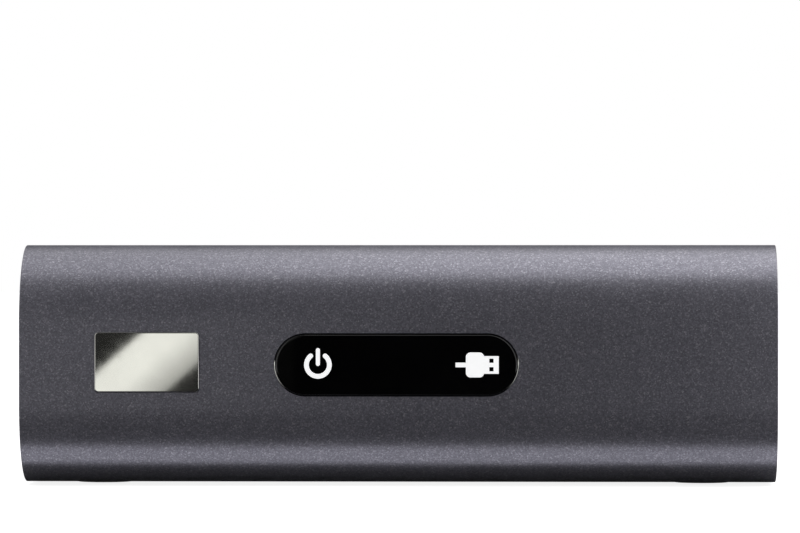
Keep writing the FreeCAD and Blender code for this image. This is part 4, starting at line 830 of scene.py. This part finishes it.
def make_handle():
    """The flap with upright ridges near its free end, where a fingertip pulls it."""
    low, high = span("tray_handle")
    made = plain_object("handle_flap", copied("tray_handle"))
    ease(made, 0.15)
    dress(made, BODY_OF["tray_handle"], SLOT_OF["tray_handle"], ("tray_handle",))
    face, middle = 61.8, (low.z + high.z) / 2
    ridges = [solid("x", (low.y + 1.6 + 1.1 * i, middle),
                    lambda inset: rounded_box(0.55, 5.6, 0.27, inset, 5),
                    [(face - 0.2, 0), (face + 0.1, 0), (face + 0.22, 0.07), (face + 0.26, 0.16)])
              for i in range(6)]
    piece("handle_ridges", joined(ridges), BODY_OF["tray_handle"], "case_plastic")


def make_lock():
    """The slider, its knob with a fine groove on each side of the middle one."""
    low, high = span("tray_lock")
    made = plain_object("lock_slider", copied("tray_lock"))
    ease(made, 0.12)
    carve(made, [solid("x", (high.y - 2.05 + shift, (low.z + high.z) / 2),
                       lambda i: rounded_box(0.5, 4, 0.1, i, 3), [(high.x - 0.3, 0.1), (high.x + 0.1, 0)])
                 for shift in (-1.2, 1.2)])
    dress(made, BODY_OF["tray_lock"], SLOT_OF["tray_lock"], ("tray_lock",))


make_handle()
make_lock()


# ---- Hard drive ----

def make_drive_cover():
    """A pressed lid: a raised round over the discs, a raised field over the arm, and a bare label."""
    low, high = span("drive_cover")
    centre, flat = ((low.x + high.x) / 2, (low.y + high.y) / 2), high.z - 0.35
    made = plain_object("drive_lid", solid(
        "z", centre, lambda i: rounded_box(high.x - low.x, high.y - low.y, 2, i, 6),
        [(low.z, 0), (flat - 0.2, 0), (flat, 0.2)]))
    press = [(flat - 0.3, 0), (flat, 0), (flat + 0.08, 0.05), (high.z - 0.08, 0.55), (high.z, 0.75)]
    carve(made, [solid("z", (high.x - 34.5, centre[1]), lambda i: round_shape(31.5, i, 96), press),
                 solid("z", (low.x + 27, centre[1] + 1), lambda i: rounded_box(44, 50, 9, i, 10), press)],
          "UNION", overlapping=True)
    carve(made, [solid("z", (x, y), lambda i: round_shape(1.7, i, 24), [(flat - 0.25, 0), (high.z + 0.5, 0)])
                 for x in (low.x + 3.4, high.x - 3.4) for y in (low.y + 3.4, high.y - 3.4)])
    dress(made, "tray", "drive_cover", ("drive_cover",))
    label = solid("z", (centre[0] - 3, centre[1]), lambda i: rounded_box(70, 44, 1.5, i, 6),
                  [(high.z - 0.02, 0), (high.z + 0.06, 0.01)])
    piece("drive_label", label, "tray", "insert_white")


make_drive_cover()


# ---- Small parts on the boards ----

def make_capacitors():
    """Aluminium cans, crimped above a dark base, with a rounded top."""
    cans, bases = [], []
    for low, high in solids_of("capacitors"):
        centre, radius = ((low.x + high.x) / 2, (low.y + high.y) / 2), (high.x - low.x) / 2
        cans.append(turned("z", centre, filleted([
            (low.z + 0.5, 0, 0), (low.z + 0.5, radius, 0.2), (low.z + 1.2, radius, 0.2),
            (low.z + 1.5, radius - 0.3, 0.2), (low.z + 1.8, radius, 0.2), (high.z, radius, 0.5),
            (high.z, 0, 0)]), 40))
        bases.append(solid("z", centre, lambda i: rounded_box(2 * radius, 2 * radius, 0.9, i, 4),
                           [(low.z, 0), (low.z + 0.6, 0), (low.z + 0.7, 0.1)]))
    piece("capacitor_cans", joined(cans), "player", "can_metal", ("capacitors",))
    piece("capacitor_bases", joined(bases), "player", "part_black")


def make_chip_legs():
    """Gull-wing legs down both long sides of each memory chip."""
    legs = []
    for low, high in solids_of("memory_chips"):
        for side, x in ((-1, low.x), (1, high.x)):
            wing = [(-0.1, 0.62), (0.32, 0.62), (0.45, 0.15), (0.95, 0.15), (0.95, 0), (0.34, 0), (0.2, 0.47),
                    (-0.1, 0.47)]
            outline = [(x + side * u, low.z + v) for u, v in wing]
            for i in range(13):
                y = low.y + 0.7 + i * (high.y - low.y - 1.4) / 12
                legs.append(prism("y", (0, 0), outline, y - 0.17, y + 0.17))
    piece("chip_legs", joined(legs), "player", "can_metal")


make_capacitors()
make_chip_legs()


# ---- Nodes that keep their shape ----

EASED = {
    "end_cap_left": 0.18, "end_cap_right": 0.18, "rear_panel": 0.15, "tray_bezel": 0.2, "chassis": 0.1,
    "drive_cage": 0.1, "drive_tray": 0.12, "guide_rail_front": 0.15, "guide_rail_rear": 0.15,
    "drive_casting": 0.3, "drive_circuit": 0.08, "drive_plug": 0.08, "dock_socket": 0.15, "dock_board": 0.08,
    "front_board": 0.08, "main_board": 0.08, "light_box": 0.15, "ribbon_sockets": 0.2, "processor": 0.2,
    "memory_chips": 0.15, "inductors": 0.6, "heat_sink": 0.12, "thermal_pad": 0.08,
    "av_socket_block": 0.25, "optical_socket": 0.15, "power_jack": 0.25,
    "reset_switch": 0.2, "reset_button": 0.15, "video_socket_tongue": 0.12, "rear_data_socket_tongue": 0.12,
    "side_data_socket_tongue": 0.12, "front_spacers": 0.12, "infrared_receiver": 0.25,
    "indicator_lights": 0.15, "handle_pin": 0.1,
}
RIBBON = ribbon_finish().material
FLAT_CABLES = ("front_ribbon", "dock_cable")

for node, width in EASED.items():
    softened(node, width)
for node, made in CAD.items():
    for holder in made.material_slots:
        holder.material = RIBBON if node in FLAT_CABLES else FINISHES[SLOT_OF[node]].material


# ---- Floor, backdrop and light, in metres ----

AMBIENT = 0.45
FLOOR_TONE = 0.85
FLOOR_GLOW = 0.85
CARD_BLACK = (0.006, 0.006, 0.008)
# Level of the painted shade cards under the part, seen only in reflections.
PAINTED_SHADE_BLACK = (0.014, 0.014, 0.014)


def ray_mix(tree, seen, lit, output):
    """Shows the first shader to the camera, to reflections and through glass, and the second to the rest."""
    nodes, links = tree.nodes, tree.links
    path = nodes.new("ShaderNodeLightPath")
    any_seen = path.outputs["Is Camera Ray"]
    for name in ("Is Glossy Ray", "Is Transmission Ray"):
        either = nodes.new("ShaderNodeMath")
        either.operation = "MAXIMUM"
        links.new(any_seen, either.inputs[0])
        links.new(path.outputs[name], either.inputs[1])
        any_seen = either.outputs[0]
    mix = nodes.new("ShaderNodeMixShader")
    links.new(any_seen, mix.inputs[0])
    links.new(lit, mix.inputs[1])
    links.new(seen, mix.inputs[2])
    links.new(mix.outputs[0], output)


def make_world():
    world = bpy.data.worlds.new("studio")
    SCENE.world = world
    world.use_nodes = True
    tree = world.node_tree
    tree.nodes.clear()
    output = tree.nodes.new("ShaderNodeOutputWorld")
    seen = tree.nodes.new("ShaderNodeBackground")
    seen.inputs["Color"].default_value = (1, 1, 1, 1)
    seen.inputs["Strength"].default_value = 1.0
    lit = tree.nodes.new("ShaderNodeBackground")
    lit.inputs["Color"].default_value = (1, 1, 1, 1)
    lit.inputs["Strength"].default_value = AMBIENT
    ray_mix(tree, seen.outputs[0], lit.outputs[0], output.inputs["Surface"])


def make_floor():
    bm = bmesh.new()
    bmesh.ops.create_grid(bm, x_segments=1, y_segments=1, size=6)
    floor = plain_object("floor", bm)
    material = bpy.data.materials.new("floor_white")
    material.use_nodes = True
    tree = material.node_tree
    tree.nodes.clear()
    output = tree.nodes.new("ShaderNodeOutputMaterial")
    diffuse = tree.nodes.new("ShaderNodeBsdfDiffuse")
    diffuse.inputs["Color"].default_value = (FLOOR_TONE, FLOOR_TONE, FLOOR_TONE, 1)
    glow = tree.nodes.new("ShaderNodeEmission")
    glow.inputs["Strength"].default_value = FLOOR_GLOW
    both = tree.nodes.new("ShaderNodeAddShader")
    tree.links.new(diffuse.outputs[0], both.inputs[0])
    tree.links.new(glow.outputs[0], both.inputs[1])
    ray_mix(tree, both.outputs[0], diffuse.outputs[0], output.inputs["Surface"])
    floor.data.materials.append(material)


def make_card(name, corners, level, fringes=(0, 0)):
    """A studio card that only reflections see.

    Fringes spread its left and right edges into a fade to white. They say how far to either side of the
    edge, for the first pair of corners and for the second."""
    bm = bmesh.new()
    shade = bm.verts.layers.float_color.new("shade")
    rows = []
    for left, right, fringe in ((corners[0], corners[1], fringes[0]), (corners[3], corners[2], fringes[1])):
        spots = [(left, -fringe, (1, 1, 1)), (left, fringe, level), (right, -fringe, level),
                 (right, fringe, (1, 1, 1))]
        rows.append([bm.verts.new((spot[0] + shift, *spot[1:])) for spot, shift, _ in spots])
        for vert, (_, _, tone) in zip(rows[-1], spots):
            vert[shade] = (*tone, 1)
    low, high = rows
    for i in range(3) if fringes[1] else (1,):
        bm.faces.new((low[i], low[i + 1], high[i + 1], high[i]))
    card = plain_object(name, bm)
    material = bpy.data.materials.new(name)
    material.use_nodes = True
    tree = material.node_tree
    tree.nodes.clear()
    output = tree.nodes.new("ShaderNodeOutputMaterial")
    glow = tree.nodes.new("ShaderNodeEmission")
    glow.inputs["Color"].default_value = (*level, 1)
    if fringes[1]:
        tone = tree.nodes.new("ShaderNodeVertexColor")
        tone.layer_name = "shade"
        tree.links.new(tone.outputs["Color"], glow.inputs["Color"])
    tree.links.new(glow.outputs[0], output.inputs["Surface"])
    card.data.materials.append(material)
    card.visible_camera = False
    card.visible_diffuse = False
    card.visible_shadow = False
    return card


def flat_card(name, reach, near, far, height, level):
    """A level card, as far to the left as to the right."""
    make_card(name, [(-reach, near, height), (reach, near, height), (reach, far, height),
                     (-reach, far, height)], level)


# The slanted band that the badge mirrors. Its stops are (place across it, level): dark, full, a slow fade to
# half, dark. The place is the band's slope times the spot on the card, plus its start.
BADGE_BAND = ((0.16, 0.02), (0.22, 1.0), (0.5, 1.0), (0.84, 0.45), (0.88, 0.02))
BAND_SLOPE, BAND_START, BAND_STRENGTH = (38.2, 0, -43.4), 3.29, 1.4


def make_badge_card():
    """The card in the badge's mirror: a slanted band, fading towards the lower right, on a dark ground."""
    card = make_card("badge_card", [(-0.09, -0.19, 0.001), (-0.025, -0.19, 0.001), (-0.025, -0.19, 0.04),
                                    (-0.09, -0.19, 0.04)], (1, 1, 1))
    tree = card.data.materials[0].node_tree
    place = tree.nodes.new("ShaderNodeTexCoord")
    across = tree.nodes.new("ShaderNodeVectorMath")
    across.operation = "DOT_PRODUCT"
    across.inputs[1].default_value = BAND_SLOPE
    start = tree.nodes.new("ShaderNodeMath")
    start.inputs[1].default_value = BAND_START
    ramp = tree.nodes.new("ShaderNodeValToRGB")
    stops = ramp.color_ramp.elements
    for i, (spot, level) in enumerate(BADGE_BAND):
        stop = stops[i] if i < 2 else stops.new(spot)
        stop.position = spot
        stop.color = (level, level, level * 0.96, 1)
    tree.nodes["Emission"].inputs["Strength"].default_value = BAND_STRENGTH
    tree.links.new(place.outputs["Object"], across.inputs[0])
    tree.links.new(across.outputs["Value"], start.inputs[0])
    tree.links.new(start.outputs[0], ramp.inputs[0])
    tree.links.new(ramp.outputs[0], tree.nodes["Emission"].inputs["Color"])


def make_lamp(name, place, aim, size, watts):
    data = bpy.data.lights.new(name, "AREA")
    data.shape = "RECTANGLE"
    data.size, data.size_y = size
    data.energy = watts
    lamp = bpy.data.objects.new(name, data)
    lamp.location = place
    lamp.rotation_euler = (Vector(aim) - Vector(place)).to_track_quat("-Z", "Y").to_euler()
    SCENE.collection.objects.link(lamp)


# The dark cards stand in front, lie on the floor ahead of the part and under it, and stand behind it. The two
# under the part are painted shade: dark sheets where the floor lies in the part's shadow, so reflections see
# that shadow dark instead of the floor's glow. The low strip is a bright one on the floor below the front.
make_world()
make_floor()
make_card("front_card", [(-0.139, -0.25, 0.001), (0.114, -0.25, 0.001), (0.18, -0.25, 0.6),
                         (-0.195, -0.25, 0.6)], CARD_BLACK, (0.025, 0.025))
make_card("low_card", [(-0.076, -0.0512, 0.001), (0.076, -0.0512, 0.001), (0.114, -0.25, 0.001),
                       (-0.139, -0.25, 0.001)], CARD_BLACK, (0.004, 0.025))
# Painted shade: dark sheets under the part, where the floor is in its shadow, seen only in reflections.
flat_card("painted_shade_under", 0.08, -0.0455, -0.02, 0.0002, PAINTED_SHADE_BLACK)
flat_card("painted_shade_base", 0.062, -0.02, 0.05, 0.0002, PAINTED_SHADE_BLACK)
flat_card("low_strip", 0.075, -0.0535, -0.0455, 0.0004, (1.06, 1.06, 1.10))
make_card("rear_card", [(-0.5, 0.3, 0.0), (0.5, 0.3, 0.0), (0.5, 0.36, 0.36), (-0.5, 0.36, 0.36)],
          (0.03, 0.03, 0.03))
make_badge_card()
make_lamp("top_box", (0.92, 0.1, 0.75), (0.92, 0.1, 0), (2.0, 0.8), 6.3)
